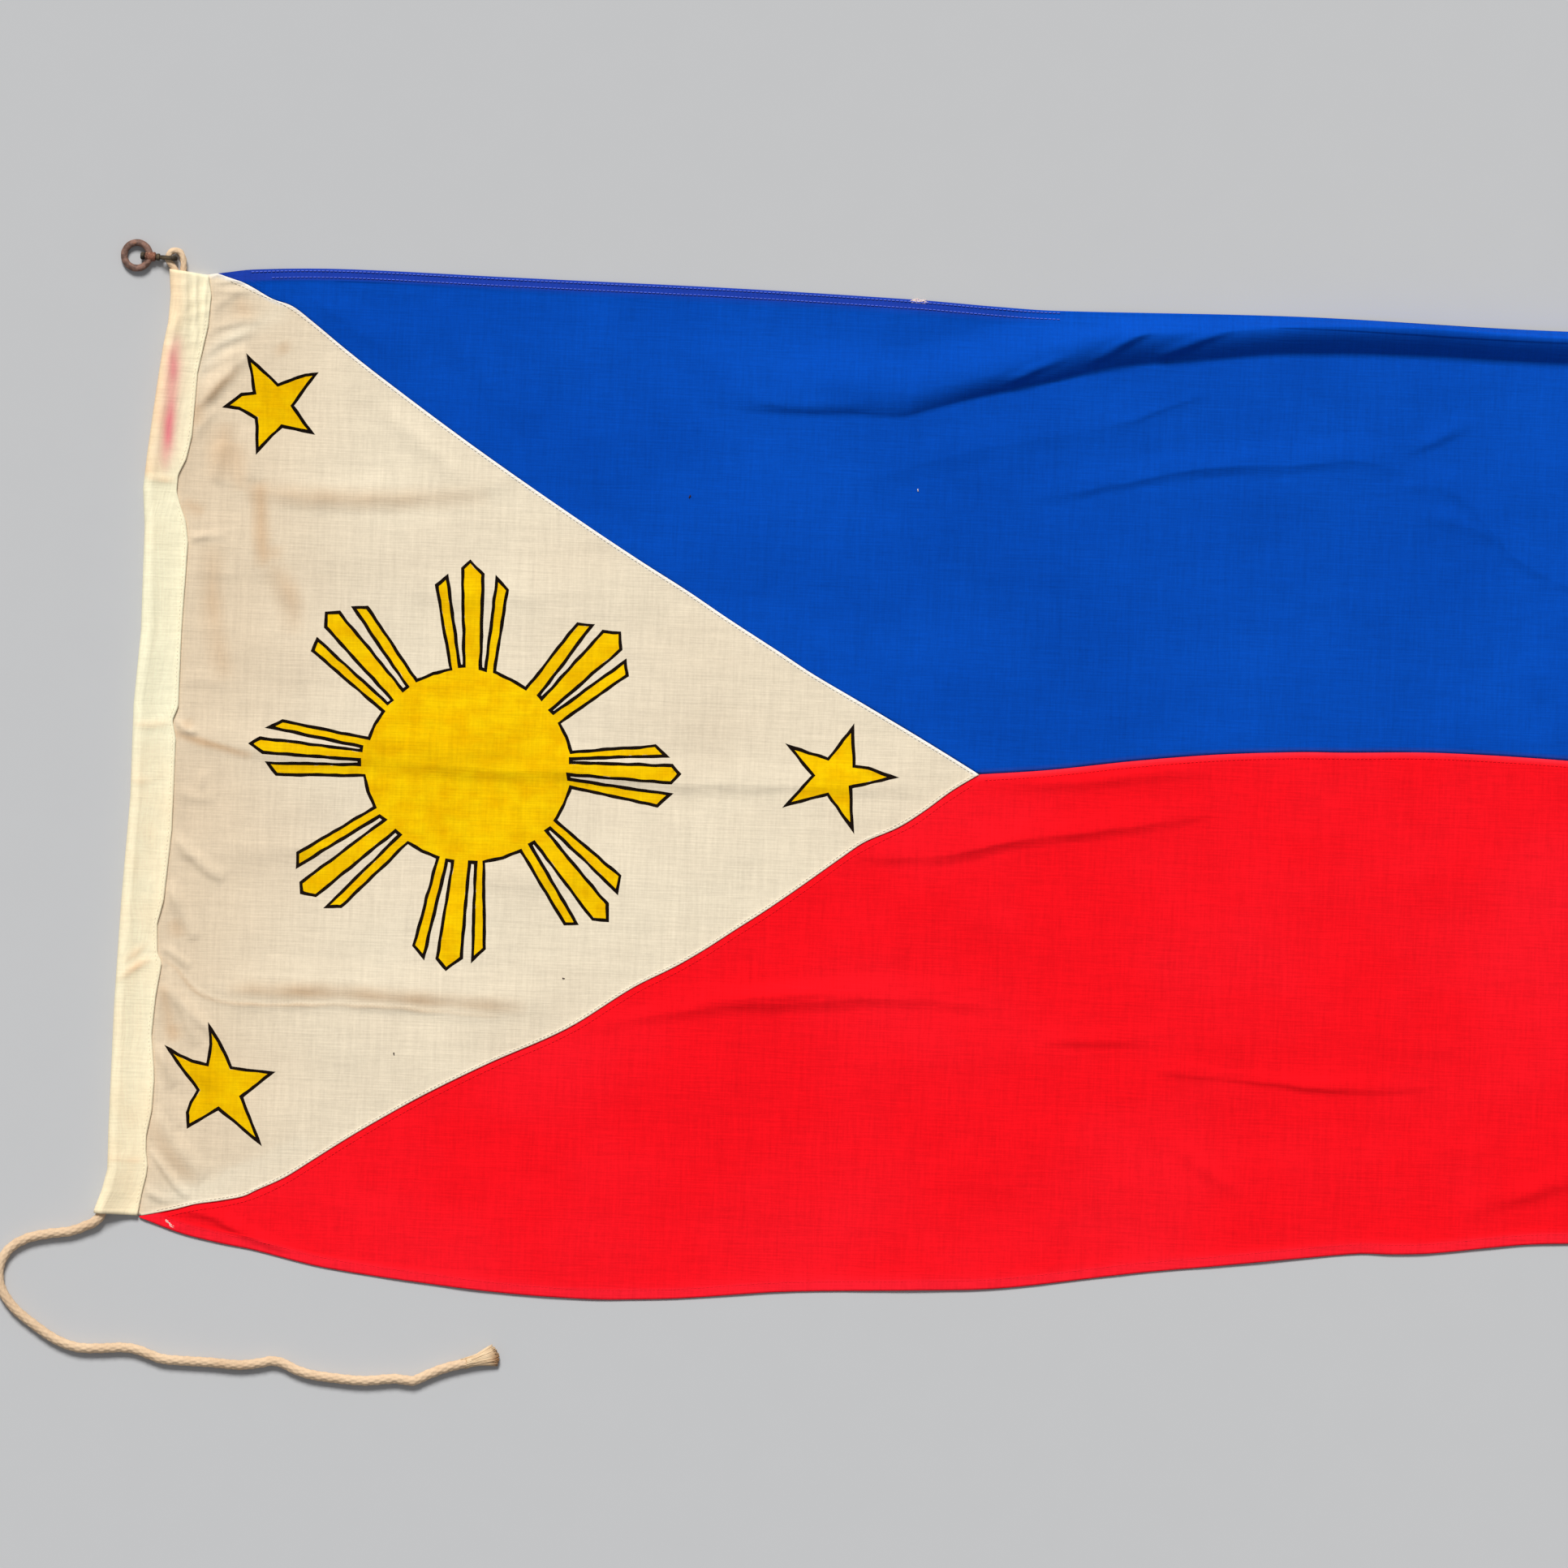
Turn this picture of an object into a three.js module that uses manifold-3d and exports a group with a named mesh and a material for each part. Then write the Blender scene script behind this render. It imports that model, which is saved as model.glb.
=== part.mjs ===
// A cotton flag laid out on a flat surface: two bands, a hoist triangle, a canvas heading
// with a rope sewn in it, a swivel ring at the top of the rope and a loose tail at its foot.
// Millimetres. +X runs along the fly, +Y up the hoist, +Z up from the surface the flag lies on.
// The origin is on that surface, under the middle of the flag.

import * as THREE from 'three';
import { mergeVertices } from 'three/addons/utils/BufferGeometryUtils.js';
import Module from 'manifold-3d';

const wasm = await Module();
wasm.setup();

// ---- driving dimensions -------------------------------------------------------------------

const CLOTH = 1.2; // bunting with its nap, as a solid
const GAP = 0.3; // clearance between neighbouring pieces
const SEAM_HALF_GAP = 0.18; // each panel stops this far short of the seam line

const CANVAS = 1.0; // one layer of the heading
const HEADING_TUCK = 10; // how far the triangle reaches in between the heading's layers
const HEADING_LIFT = CANVAS + GAP; // underside of the triangle inside the heading
const HEADING_RAMP = 18; // the triangle comes down to the surface within this distance
const HEADING_TOP_SLANT = 3.5; // the heading's upper end drops by this much across its width

const ROPE_RADIUS = 3.7;
const ROPE_SIDES = 8;
const CHANNEL_RADIUS = 5.2; // outside of the canvas where it wraps the rope
const EYE_RADIUS = 2.45; // strand of the eye at the top of the rope
const EYE_CHANNEL = { halfWidth: 7.5, halfHeight: 4.8 }; // the wrap where it holds the eye's two legs
const ROPE_HEAD = 321; // height up the hoist where the rope gives way to the eye's two legs
const EYE_LEG_FOOT = 333;
const TAIL_CENTRE = 3.75; // centre height of the tail lying on the surface

const APEX = [-59.5, 13]; // where the triangle, the bands and the mid seam meet
const FLY_END = 694.7;

// ---- outlines, as points along the fly or the hoist ----------------------------------------

const TOP_HEM = [
  [-624, 357], [-598, 360.8], [-533, 363.4], [-413, 361.6], [-252, 359.4], [-116, 355.6],
  [-60, 352.7], [-16, 351.2], [161, 353], [352, 349], [540, 352], [FLY_END, 356],
];
const UPPER_SEAM = [
  [-624, 357], [-603, 350], [-584, 340], [-569, 335], [-554, 324.3], [-530, 305.7], [-506, 288],
  [-447, 246.8], [-398, 214.3], [-349, 183], [-310, 159], [-274, 137.7], [-245, 119.4],
  [-206, 95.9], [-183, 81.8], [-150, 63.8], [-124, 49.5], [-94, 32.8], APEX,
];
const LOWER_SEAM = [
  [-658, -328.5], [-631, -322.3], [-617, -318.2], [-600, -315.3], [-582, -311.2], [-573, -306.6],
  [-553, -296.8], [-533, -283.4], [-510, -267.8], [-490, -255], [-455, -233.9], [-409, -209.4],
  [-351, -181.1], [-305, -150.3], [-274, -133.4], [-253, -120.2], [-232, -105.6], [-213, -92.6],
  [-197, -81], [-183, -70.5], [-158, -51.4], [-141, -39], [-116, -27], [-97, -13.9], [-79, 0.3],
  APEX,
];
const MID_SEAM = [
  APEX, [-10, 17.8], [54, 26.8], [113, 33.4], [172, 37.2], [205, 38], [274, 40.2], [363, 38],
  [520, 30], [FLY_END, 20],
];
const BOTTOM_HEM = [
  [-658, -328.9], [-628, -339.4], [-600, -345.6], [-575, -349.8], [-521, -361.2], [-433, -371.5],
  [-380, -375.7], [-326, -377.4], [-300, -376.6], [-262, -374.4], [-190, -367.3], [-100, -363.1],
  [-32, -359.2], [67, -344.7], [126, -337.5], [185, -330], [228, -325], [252, -324.6], [280, -323],
  [363, -313.2], [530, -310], [FLY_END, -318],
];

// The heading's two long edges, as [height up the hoist, place along the fly].
const HEADING_OUTER = [
  [-325, -690], [-310, -684.7], [-295, -681.2], [-265, -681.5], [-175, -680.5], [-100, -678],
  [-24, -674], [42, -674], [96, -670.5], [172, -670.5], [199, -672.5], [224, -670.5], [257, -667],
  [284, -664], [304, -661.5], [321, -658.5], [341, -657.5], [359, -659],
];
const HEADING_INNER = [
  [-326, -658], [-309, -655.3], [-279, -652.8], [-249, -651], [-219, -650.8], [-197, -652.7],
  [-169, -650.7], [-144, -647], [-137, -650.5], [-116, -651.4], [-99, -647.3], [-48, -643.2],
  [19, -642.6], [32, -645.4], [42, -641.6], [97, -641.2], [162, -638.7], [177, -641], [189, -645.6],
  [198, -648.2], [210, -647.5], [222, -642], [239, -638.5], [285, -636], [319, -629.5], [341, -628],
  [356, -630.5],
];

// ---- folds ----------------------------------------------------------------------------------

// The steep fold under the top hem: its lower edge, its height and the width of its steep side.
const FOLD_FOOT = [
  [-624, 357], [-583, 352], [-506, 334.5], [-393, 303], [-267, 273.5], [-217, 269.5], [-162, 270.5],
  [-125, 270.5], [-103, 278.5], [-64, 292], [-17, 303], [34, 313], [94, 319], [172, 326.5],
  [251, 327.5], [350, 325.5], [520, 328], [FLY_END, 333],
];
const FOLD_HEIGHT = [
  [-624, 0], [-267, 0], [-217, 2], [-125, 4], [-64, 8], [-17, 11], [34, 13.5], [94, 15], [350, 15],
  [520, 9], [FLY_END, 4],
];
const FOLD_STEEP = [
  [-624, 8], [-267, 8], [-125, 9], [-64, 8], [-17, 9], [34, 13], [172, 14], [350, 14], [FLY_END, 12],
];
const FOLD_BACK = 38; // the gentle side runs out this far behind the crest, or to the hem

// Low creases left by storage: each a soft ridge along its line, tapering to nothing at both ends.
const STORAGE_CREASES = [
  { line: [[-642, 201], [-576, 196], [-494, 197], [-409, 210]], height: 2.2, reach: 20 },
  { line: [[-645, 23], [-571, 8], [-416, 2], [-280, -4], [-103, -1]], height: 2.4, reach: 20 },
  { line: [[-646, -144], [-599, -172], [-457, -173], [-372, -179]], height: 2.6, reach: 22 },
  { line: [[-590, 202], [-578, 156], [-571, 127]], height: 1.8, reach: 20 },
  { line: [[-23, 212], [57, 230], [155, 242], [238, 242]], height: 2.4, reach: 22 },
  { line: [[-135, 225], [24, 265], [95, 290]], height: 1.8, reach: 22 },
  { line: [[236, 232], [277, 228], [337, 175], [400, 160]], height: 2.2, reach: 24 },
  { line: [[-141, -53], [-29, -36], [110, -14]], height: 2.0, reach: 22 },
  { line: [[-316, -177], [-175, -159], [-40, -159]], height: 2.2, reach: 22 },
  { line: [[86, -203], [156, -204], [268, -205]], height: 1.8, reach: 20 },
  { line: [[306, -294], [352, -281], [420, -262]], height: 1.8, reach: 24 },
];

// Puckers where the triangle is gathered into the heading.
const PUCKERS = [
  { line: [[-628, 345], [-610, 329]], height: 2.6, reach: 14 },
  { line: [[-634, 300], [-604, 316]], height: 2.4, reach: 14 },
  { line: [[-637, 258], [-625, 274], [-606, 291]], height: 3.4, reach: 14 },
  { line: [[-645, 188], [-608, 182]], height: 2.0, reach: 14 },
  { line: [[-643, -55], [-630, -78]], height: 2.6, reach: 14 },
  { line: [[-646, -96], [-635, -122], [-614, -148]], height: 3.4, reach: 15 },
  { line: [[-646, -146], [-637, -175], [-621, -204]], height: 3.6, reach: 15 },
  { line: [[-650, -205], [-635, -234]], height: 2.8, reach: 14 },
  { line: [[-650, -247], [-639, -282], [-621, -307]], height: 3.4, reach: 15 },
];

// ---- the clip at the top of the rope ---------------------------------------------------------

const RING = { centre: [-683, 368.1], pitch: 9.25, wire: 2.5 };
const CLIP_TILT = THREE.MathUtils.degToRad(5); // the rope's eye holds the swivel end up
const CLIP_TURN = THREE.MathUtils.degToRad(-3);
const BOSS = { radius: 3.4, start: 6, end: 14 };
const PIN_RADIUS = 1.3;
const PIN_HEAD = { radius: 2.7, length: 2.9 };
const COLLAR = { radius: 2.6, length: 2.7 };
const BOW = { length: 13.4, height: 10, wire: 2, thickness: 2.4 };

// ---- materials -------------------------------------------------------------------------------

const finish = (color, roughness, metalness = 0) =>
  new THREE.MeshStandardMaterial({ color, roughness, metalness });

const FINISHES = {
  whiteCotton: finish(0xe2d4bc, 0.95),
  blueCotton: finish(0x084bb9, 0.95),
  redCotton: finish(0xe8141f, 0.95),
  canvas: finish(0xf6e6c8, 0.95),
  rope: finish(0xd6bc91, 0.95),
  rustyIron: finish(0x5f3c32, 0.7, 0.8),
};

// ---- helpers ---------------------------------------------------------------------------------

/** A smooth function through points whose first number grows; straight at its ends. */
function through(points) {
  const slopes = points.map((point, i) => {
    const before = points[Math.max(i - 1, 0)];
    const after = points[Math.min(i + 1, points.length - 1)];
    return (after[1] - before[1]) / (after[0] - before[0]);
  });
  return (u) => {
    let i = 0;
    while (i < points.length - 2 && u > points[i + 1][0]) i += 1;
    const [u0, v0] = points[i];
    const [u1, v1] = points[i + 1];
    const span = u1 - u0;
    const t = THREE.MathUtils.clamp((u - u0) / span, 0, 1);
    const rest = 1 - t;
    const start = rest * rest * ((1 + 2 * t) * v0 + t * span * slopes[i]);
    const end = t * t * ((3 - 2 * t) * v1 - rest * span * slopes[i + 1]);
    return start + end;
  };
}

/** Straight pieces between points whose first number grows. */
function straightThrough(points) {
  return (u) => {
    let i = 0;
    while (i < points.length - 2 && u > points[i + 1][0]) i += 1;
    const [u0, v0] = points[i];
    const [u1, v1] = points[i + 1];
    return THREE.MathUtils.lerp(v0, v1, THREE.MathUtils.clamp((u - u0) / (u1 - u0), 0, 1));
  };
}

const topHem = through(TOP_HEM);
const upperSeam = through(UPPER_SEAM);
const lowerSeam = through(LOWER_SEAM);
const midSeam = through(MID_SEAM);
const bottomHem = through(BOTTOM_HEM);
const headingOuter = straightThrough(HEADING_OUTER);
const headingInner = straightThrough(HEADING_INNER);
const foldFoot = through(FOLD_FOOT);
const foldHeight = straightThrough(FOLD_HEIGHT);
const foldSteep = straightThrough(FOLD_STEEP);

/** 1 at zero, 0 from one on, level at both. */
function softFall(t) {
  const clamped = THREE.MathUtils.clamp(t, 0, 1);
  return 1 - clamped * clamped * (3 - 2 * clamped);
}

/** Height of one crease at a point: a soft ridge along its line, lowest at the line's ends. */
function creaseHeight({ line, height, reach }, x, y) {
  const lengths = line.slice(1).map((end, i) => Math.hypot(end[0] - line[i][0], end[1] - line[i][1]));
  const total = lengths.reduce((sum, length) => sum + length, 0);
  let nearest = Infinity;
  let along = 0;
  let walked = 0;
  lengths.forEach((length, i) => {
    const [ax, ay] = line[i];
    const ux = (line[i + 1][0] - ax) / length;
    const uy = (line[i + 1][1] - ay) / length;
    const t = THREE.MathUtils.clamp((x - ax) * ux + (y - ay) * uy, 0, length);
    const distance = Math.hypot(x - ax - t * ux, y - ay - t * uy);
    if (distance < nearest) {
      nearest = distance;
      along = (walked + t) / total;
    }
    walked += length;
  });
  const taper = Math.sqrt(Math.max(Math.sin(Math.PI * along), 0));
  return height * taper * softFall(nearest / reach);
}

/** Width of the steep fold's gentle side: it runs out behind the crest, or at the hem. */
function foldBack(x) {
  const crest = foldFoot(x) + foldSteep(x);
  return Math.min(FOLD_BACK, topHem(x) - crest);
}

/** Height of the steep fold: a sharp foot, a rounded crest and a gentle back. */
function foldProfile(x, y) {
  const steep = foldSteep(x);
  const fromFoot = y - foldFoot(x);
  if (fromFoot <= 0) return 0;
  if (fromFoot < steep) {
    return foldHeight(x) * Math.sin((Math.PI / 2) * (fromFoot / steep));
  }
  return foldHeight(x) * softFall((fromFoot - steep) / foldBack(x));
}

/** Underside of the cloth above the surface. */
function clothHeight(x, y) {
  const fromHeading = x - headingInner(y);
  const lift = HEADING_LIFT * softFall(fromHeading / HEADING_RAMP);
  if (fromHeading <= 0) return HEADING_LIFT;
  const creases = STORAGE_CREASES.concat(PUCKERS).map((crease) => creaseHeight(crease, x, y));
  const free = THREE.MathUtils.clamp(fromHeading / PUCKER_START, 0, 1);
  return Math.max(lift, free * Math.max(...creases), foldProfile(x, y));
}
const PUCKER_START = 6; // puckers rise from the heading's edge over this distance

/** Collects triangles over shared vertices and leaves out any that closes to a line. */
class Skin {
  constructor() {
    this.positions = [];
    this.indices = [];
    this.known = new Map();
  }

  vertex([x, y, z]) {
    const key = [x, y, z].map((value) => value.toFixed(4)).join();
    if (!this.known.has(key)) {
      this.known.set(key, this.positions.length / 3);
      this.positions.push(x, y, z);
    }
    return this.known.get(key);
  }

  triangle(...points) {
    const [a, b, c] = points.map((point) => this.vertex(point));
    if (a !== b && b !== c && c !== a) this.indices.push(a, b, c);
  }

  quad(a, b, c, d) {
    this.triangle(a, b, c);
    this.triangle(a, c, d);
  }

  geometry() {
    const geometry = new THREE.BufferGeometry();
    geometry.setAttribute('position', new THREE.Float32BufferAttribute(this.positions, 3));
    geometry.setIndex(this.indices);
    geometry.computeVertexNormals();
    return geometry;
  }
}

/** A cloth panel from columns of [x, y] points that run up the hoist, set out along the fly. */
function clothPanel(columns) {
  const under = columns.map((column) => column.map(([x, y]) => [x, y, clothHeight(x, y)]));
  const over = under.map((column) => column.map(([x, y, z]) => [x, y, z + CLOTH]));
  const skin = new Skin();
  const lastColumn = columns.length - 1;
  const lastRow = columns[0].length - 1;
  for (let i = 0; i < lastColumn; i += 1) {
    for (let j = 0; j < lastRow; j += 1) {
      skin.quad(over[i][j], over[i + 1][j], over[i + 1][j + 1], over[i][j + 1]);
      skin.quad(under[i][j], under[i][j + 1], under[i + 1][j + 1], under[i + 1][j]);
    }
    skin.quad(under[i][0], under[i + 1][0], over[i + 1][0], over[i][0]);
    skin.quad(under[i + 1][lastRow], under[i][lastRow], over[i][lastRow], over[i + 1][lastRow]);
  }
  for (let j = 0; j < lastRow; j += 1) {
    skin.quad(under[0][j + 1], under[0][j], over[0][j], over[0][j + 1]);
    skin.quad(under[lastColumn][j], under[lastColumn][j + 1], over[lastColumn][j + 1], over[lastColumn][j]);
  }
  return skin.geometry();
}

/** A closed body through sections with the same number of points, counterclockwise from its end. */
function loft(sections, capOutline) {
  const skin = new Skin();
  const last = sections.length - 1;
  sections.slice(0, last).forEach((section, i) => {
    section.forEach((point, j) => {
      const next = (j + 1) % section.length;
      skin.quad(point, section[next], sections[i + 1][next], sections[i + 1][j]);
    });
  });
  const outline = capOutline.map(([u, v]) => new THREE.Vector2(u, v));
  const turn = THREE.ShapeUtils.area(outline);
  THREE.ShapeUtils.triangulateShape(outline, []).forEach((corners) => {
    const sameTurn = THREE.ShapeUtils.area(corners.map((corner) => outline[corner])) * turn > 0;
    const [a, b, c] = sameTurn ? corners : [...corners].reverse();
    skin.triangle(sections[0][a], sections[0][c], sections[0][b]);
    skin.triangle(sections[last][a], sections[last][b], sections[last][c]);
  });
  return skin.geometry();
}

/** Points of a round section, counterclockwise. */
function circle(radius, sides) {
  return Array.from({ length: sides }, (_, i) => {
    const angle = (2 * Math.PI * i) / sides;
    return [radius * Math.cos(angle), radius * Math.sin(angle)];
  });
}

/** A round cord along a curve through hand-set points. */
function cord(points, radius, sides, steps) {
  const curve = new THREE.CatmullRomCurve3(points.map((point) => new THREE.Vector3(...point)), false, 'centripetal');
  const shape = new THREE.Shape(circle(radius, sides).map(([x, y]) => new THREE.Vector2(x, y)));
  return new THREE.ExtrudeGeometry(shape, { steps, bevelEnabled: false, extrudePath: curve });
}

/** A solid that can be joined and cut. */
function toSolid(geometry) {
  const bare = geometry.clone();
  bare.deleteAttribute('normal');
  bare.deleteAttribute('uv');
  const merged = mergeVertices(bare, 1e-4);
  return new wasm.Manifold(new wasm.Mesh({
    numProp: 3,
    vertProperties: new Float32Array(merged.attributes.position.array),
    triVerts: new Uint32Array(merged.index.array),
  }));
}

/** The geometry of a joined or cut solid. */
function toGeometry(solid) {
  const { numProp, vertProperties, triVerts } = solid.getMesh();
  const geometry = new THREE.BufferGeometry();
  geometry.setAttribute('position', new THREE.BufferAttribute(new Float32Array(vertProperties), numProp));
  geometry.setIndex(new THREE.BufferAttribute(new Uint32Array(triVerts), 1));
  geometry.computeVertexNormals();
  return geometry;
}

/** A rod along +X from start to end. */
function rodAlongX(radius, start, end, sides) {
  const rod = new THREE.CylinderGeometry(radius, radius, end - start, sides);
  rod.rotateZ(Math.PI / 2);
  rod.translate((start + end) / 2, 0, 0);
  return rod;
}

const flag = new THREE.Group();

/** Puts a named piece in a group. */
function addPiece(name, geometry, material, group = flag) {
  const mesh = new THREE.Mesh(geometry, material);
  mesh.name = name;
  group.add(mesh);
  return mesh;
}

// ---- cloth panels ----------------------------------------------------------------------------

/** Values from one end to the other in equal steps, both ends included. */
const stations = (start, end, steps) =>
  Array.from({ length: steps + 1 }, (_, i) => THREE.MathUtils.lerp(start, end, i / steps));

// Places along the two slanting seams where the triangle's columns stand. The blue band's tip is at
// the upper seam's first point and the red band's at the lower seam's.
const UPPER_STATIONS = [-624, -614, -603, -584, -569, -554, -530, -506, -476, -447, -398, -349, -310,
  -274, -245, -206, -183, -150, -124, -94, APEX[0] - 1];
const LOWER_STATIONS = [-650, -631, -617, -600, -582, -573, -553, -533, -510, -455, -409, -351, -305,
  -274, -232, -213, -183, -158, -141, -116, APEX[0] - 1];
const BAND_STATIONS = [APEX[0], ...stations(-20, 380, 12), ...stations(440, FLY_END, 4)];

/** Height of the edge shared by the two bands or by a band and the triangle. */
const blueFoot = (x) => (x < APEX[0] ? upperSeam(x) : midSeam(x)) + SEAM_HALF_GAP;
const redHead = (x) => (x < APEX[0] ? lowerSeam(x) : midSeam(x)) - SEAM_HALF_GAP;

function trianglePanel() {
  const rows = 30;
  const headingFoot = HEADING_INNER[0];
  const headingHead = HEADING_INNER[HEADING_INNER.length - 1];
  const tucked = stations(headingFoot[0] + GAP, headingHead[0] - GAP, rows)
    .map((y) => [headingInner(y) - HEADING_TUCK, y]);
  const atEdge = tucked.map(([, y]) => [headingInner(y), y]);
  const free = UPPER_STATIONS.map((upperX, i) => {
    const lowerX = LOWER_STATIONS[i];
    const isTip = i === UPPER_STATIONS.length - 1;
    const head = isTip ? APEX[1] : upperSeam(upperX) - SEAM_HALF_GAP;
    const foot = isTip ? APEX[1] : lowerSeam(lowerX) + SEAM_HALF_GAP;
    return stations(0, 1, rows).map((t) => [
      THREE.MathUtils.lerp(lowerX, upperX, t), THREE.MathUtils.lerp(foot, head, t),
    ]);
  });
  return clothPanel([tucked, atEdge, ...free]);
}

/** The blue band's rows stand on the steep fold's foot, its slope, its crest and its back. */
function blueColumn(x) {
  const foot = blueFoot(x);
  const head = topHem(x);
  const foldAt = Math.min(foldFoot(x), THREE.MathUtils.lerp(foot, head, 0.8));
  const room = head - foldAt;
  const steep = Math.min(foldSteep(x), room * 0.6);
  const crest = foldAt + steep;
  const back = Math.min(FOLD_BACK, (head - crest) * 0.7);
  const below = stations(foot, foldAt, 7);
  const above = [foldAt + steep / 2, crest, crest + back / 2, crest + back, head];
  return [...below, ...above].map((y) => [x, y]);
}

function bluePanel() {
  const tipX = UPPER_STATIONS[0] + 1;
  const rowCount = blueColumn(0).length;
  const tip = Array.from({ length: rowCount }, () => [tipX, topHem(tipX)]);
  const columns = UPPER_STATIONS.slice(1, -1).concat(BAND_STATIONS).map(blueColumn);
  return clothPanel([tip, ...columns]);
}

function redPanel() {
  const rows = 8;
  const tipX = LOWER_SEAM[0][0] + 1;
  const tip = Array.from({ length: rows + 1 }, () => [tipX, bottomHem(tipX)]);
  const columns = LOWER_STATIONS.slice(0, -1).concat(BAND_STATIONS)
    .map((x) => stations(bottomHem(x), redHead(x), rows).map((y) => [x, y]));
  return clothPanel([tip, ...columns]);
}

addPiece('triangle_panel', trianglePanel(), FINISHES.whiteCotton);
addPiece('blue_panel', bluePanel(), FINISHES.blueCotton);
addPiece('red_panel', redPanel(), FINISHES.redCotton);

// ---- heading and the rope sewn in it ----------------------------------------------------------

const HEADING_STATIONS = [
  -325, -316, -308, -295, -270, -240, -205, -175, -155, -137, -116, -95, -62, -24, 10, 32, 42, 70, 96,
  134, 172, 189, 199, 210, 226, 257, 284, 304, ROPE_HEAD, EYE_LEG_FOOT - 1, 341, 359,
];

/** The heading's left edge, its direction across and its width at one height up the hoist. */
function headingFrame(y) {
  const [low, high] = [HEADING_STATIONS[0], HEADING_STATIONS[HEADING_STATIONS.length - 1]];
  const slant = THREE.MathUtils.mapLinear(y, low, high, 1, HEADING_TOP_SLANT);
  const outer = headingOuter(y);
  const width = headingInner(y - slant) - outer;
  const toEye = THREE.MathUtils.smoothstep(y, ROPE_HEAD, EYE_LEG_FOOT - 1);
  return {
    place: (across, z) => [outer + across, y - slant * (across / width), z],
    width,
    halfWidth: THREE.MathUtils.lerp(CHANNEL_RADIUS, EYE_CHANNEL.halfWidth, toEye),
    halfHeight: THREE.MathUtils.lerp(CHANNEL_RADIUS, EYE_CHANNEL.halfHeight, toEye),
  };
}

/** Section of the folded canvas: two layers open on the right, wrapped round the rope on the left. */
function headingSection({ width, halfWidth, halfHeight }) {
  const upper = HEADING_LIFT + CLOTH + GAP;
  const arc = (rx, ry, start, end, steps) => stations(start, end, steps).map((degrees) => {
    const angle = THREE.MathUtils.degToRad(degrees);
    return [halfWidth + rx * Math.cos(angle), halfHeight + ry * Math.sin(angle)];
  });
  const outside = arc(halfWidth, halfHeight, 25, 270, 8);
  const inside = arc(halfWidth - CANVAS, halfHeight - CANVAS, 270, 20, 8);
  return [
    [width, upper + CANVAS], [halfWidth * 2 + 2, upper + CANVAS], ...outside, [width, 0],
    [width, CANVAS], ...inside, [halfWidth * 2 + 1.2, upper], [width, upper],
  ];
}

const headingFrames = HEADING_STATIONS.map(headingFrame);
const headingSections = headingFrames.map((frame) => {
  const section = headingSection(frame);
  return section.map(([across, z]) => frame.place(across, z)).reverse();
});
addPiece(
  'heading',
  loft(headingSections, headingSection(headingFrames[0]).reverse()),
  FINISHES.canvas,
);

const ropeFrames = HEADING_STATIONS.filter((y) => y <= ROPE_HEAD).map(headingFrame);
const ropeSection = circle(ROPE_RADIUS, ROPE_SIDES);
const ropeSections = ropeFrames.map((frame) => ropeSection
  .map(([u, v]) => frame.place(CHANNEL_RADIUS + u, CHANNEL_RADIUS + v)).reverse());
addPiece('hoist_rope', loft(ropeSections, [...ropeSection].reverse()), FINISHES.rope);

const EYE_ROUTE = [
  [-653.1, EYE_LEG_FOOT, 4.7], [-652.8, 341, 4.7], [-653.6, 350, 4.7], [-654.5, 358, 4.7],
  [-657, 361.5, 4.9], [-659.6, 364.4, 5.2], [-660.2, 367.6, 5.28], [-658.6, 371, 5.2],
  [-654.6, 372.6, 4.9], [-651, 370.6, 4.7], [-649.2, 366.3, 4.6], [-648.8, 362, 4.6], [-648.9, 357, 4.7],
  [-648.2, 350, 4.7], [-647.4, 341, 4.7], [-647.8, EYE_LEG_FOOT, 4.7],
];
addPiece('rope_eye', cord(EYE_ROUTE, EYE_RADIUS, ROPE_SIDES, 30), FINISHES.rope);

// ---- the loose tail -----------------------------------------------------------------------------

const TAIL_ROUTE = [
  [-684.8, -325.7, 5.2], [-685.4, -329.4, 5.1], [-689, -333.4, 4.8], [-695.4, -336.6, 4.2],
  [-706, -340.8, TAIL_CENTRE], [-723.6, -343.6, TAIL_CENTRE], [-738, -347.4, TAIL_CENTRE],
  [-750.3, -355.4, TAIL_CENTRE], [-756.8, -367.5, TAIL_CENTRE], [-756, -382, TAIL_CENTRE],
  [-746.5, -396.8, TAIL_CENTRE], [-732, -408.6, TAIL_CENTRE], [-714, -420, TAIL_CENTRE],
  [-698.5, -425, TAIL_CENTRE], [-682, -425.1, TAIL_CENTRE], [-666, -424, TAIL_CENTRE],
  [-656, -425, TAIL_CENTRE], [-646.4, -428.2, TAIL_CENTRE], [-637, -431.2, TAIL_CENTRE],
  [-624, -432, TAIL_CENTRE], [-602, -432.6, TAIL_CENTRE], [-580, -433.7, TAIL_CENTRE],
  [-567, -432, TAIL_CENTRE], [-556.6, -430, TAIL_CENTRE], [-548.5, -431.6, TAIL_CENTRE],
  [-541, -435.2, TAIL_CENTRE], [-530, -438.6, TAIL_CENTRE], [-512, -440.8, TAIL_CENTRE],
  [-490, -442, TAIL_CENTRE], [-467, -439.8, TAIL_CENTRE], [-459.5, -440.6, TAIL_CENTRE],
  [-453.5, -440.6, TAIL_CENTRE], [-446, -437, TAIL_CENTRE], [-432, -431, TAIL_CENTRE],
  [-416, -426.4, TAIL_CENTRE],
];
addPiece('rope_tail', cord(TAIL_ROUTE, ROPE_RADIUS, ROPE_SIDES, 72), FINISHES.rope);

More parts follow.
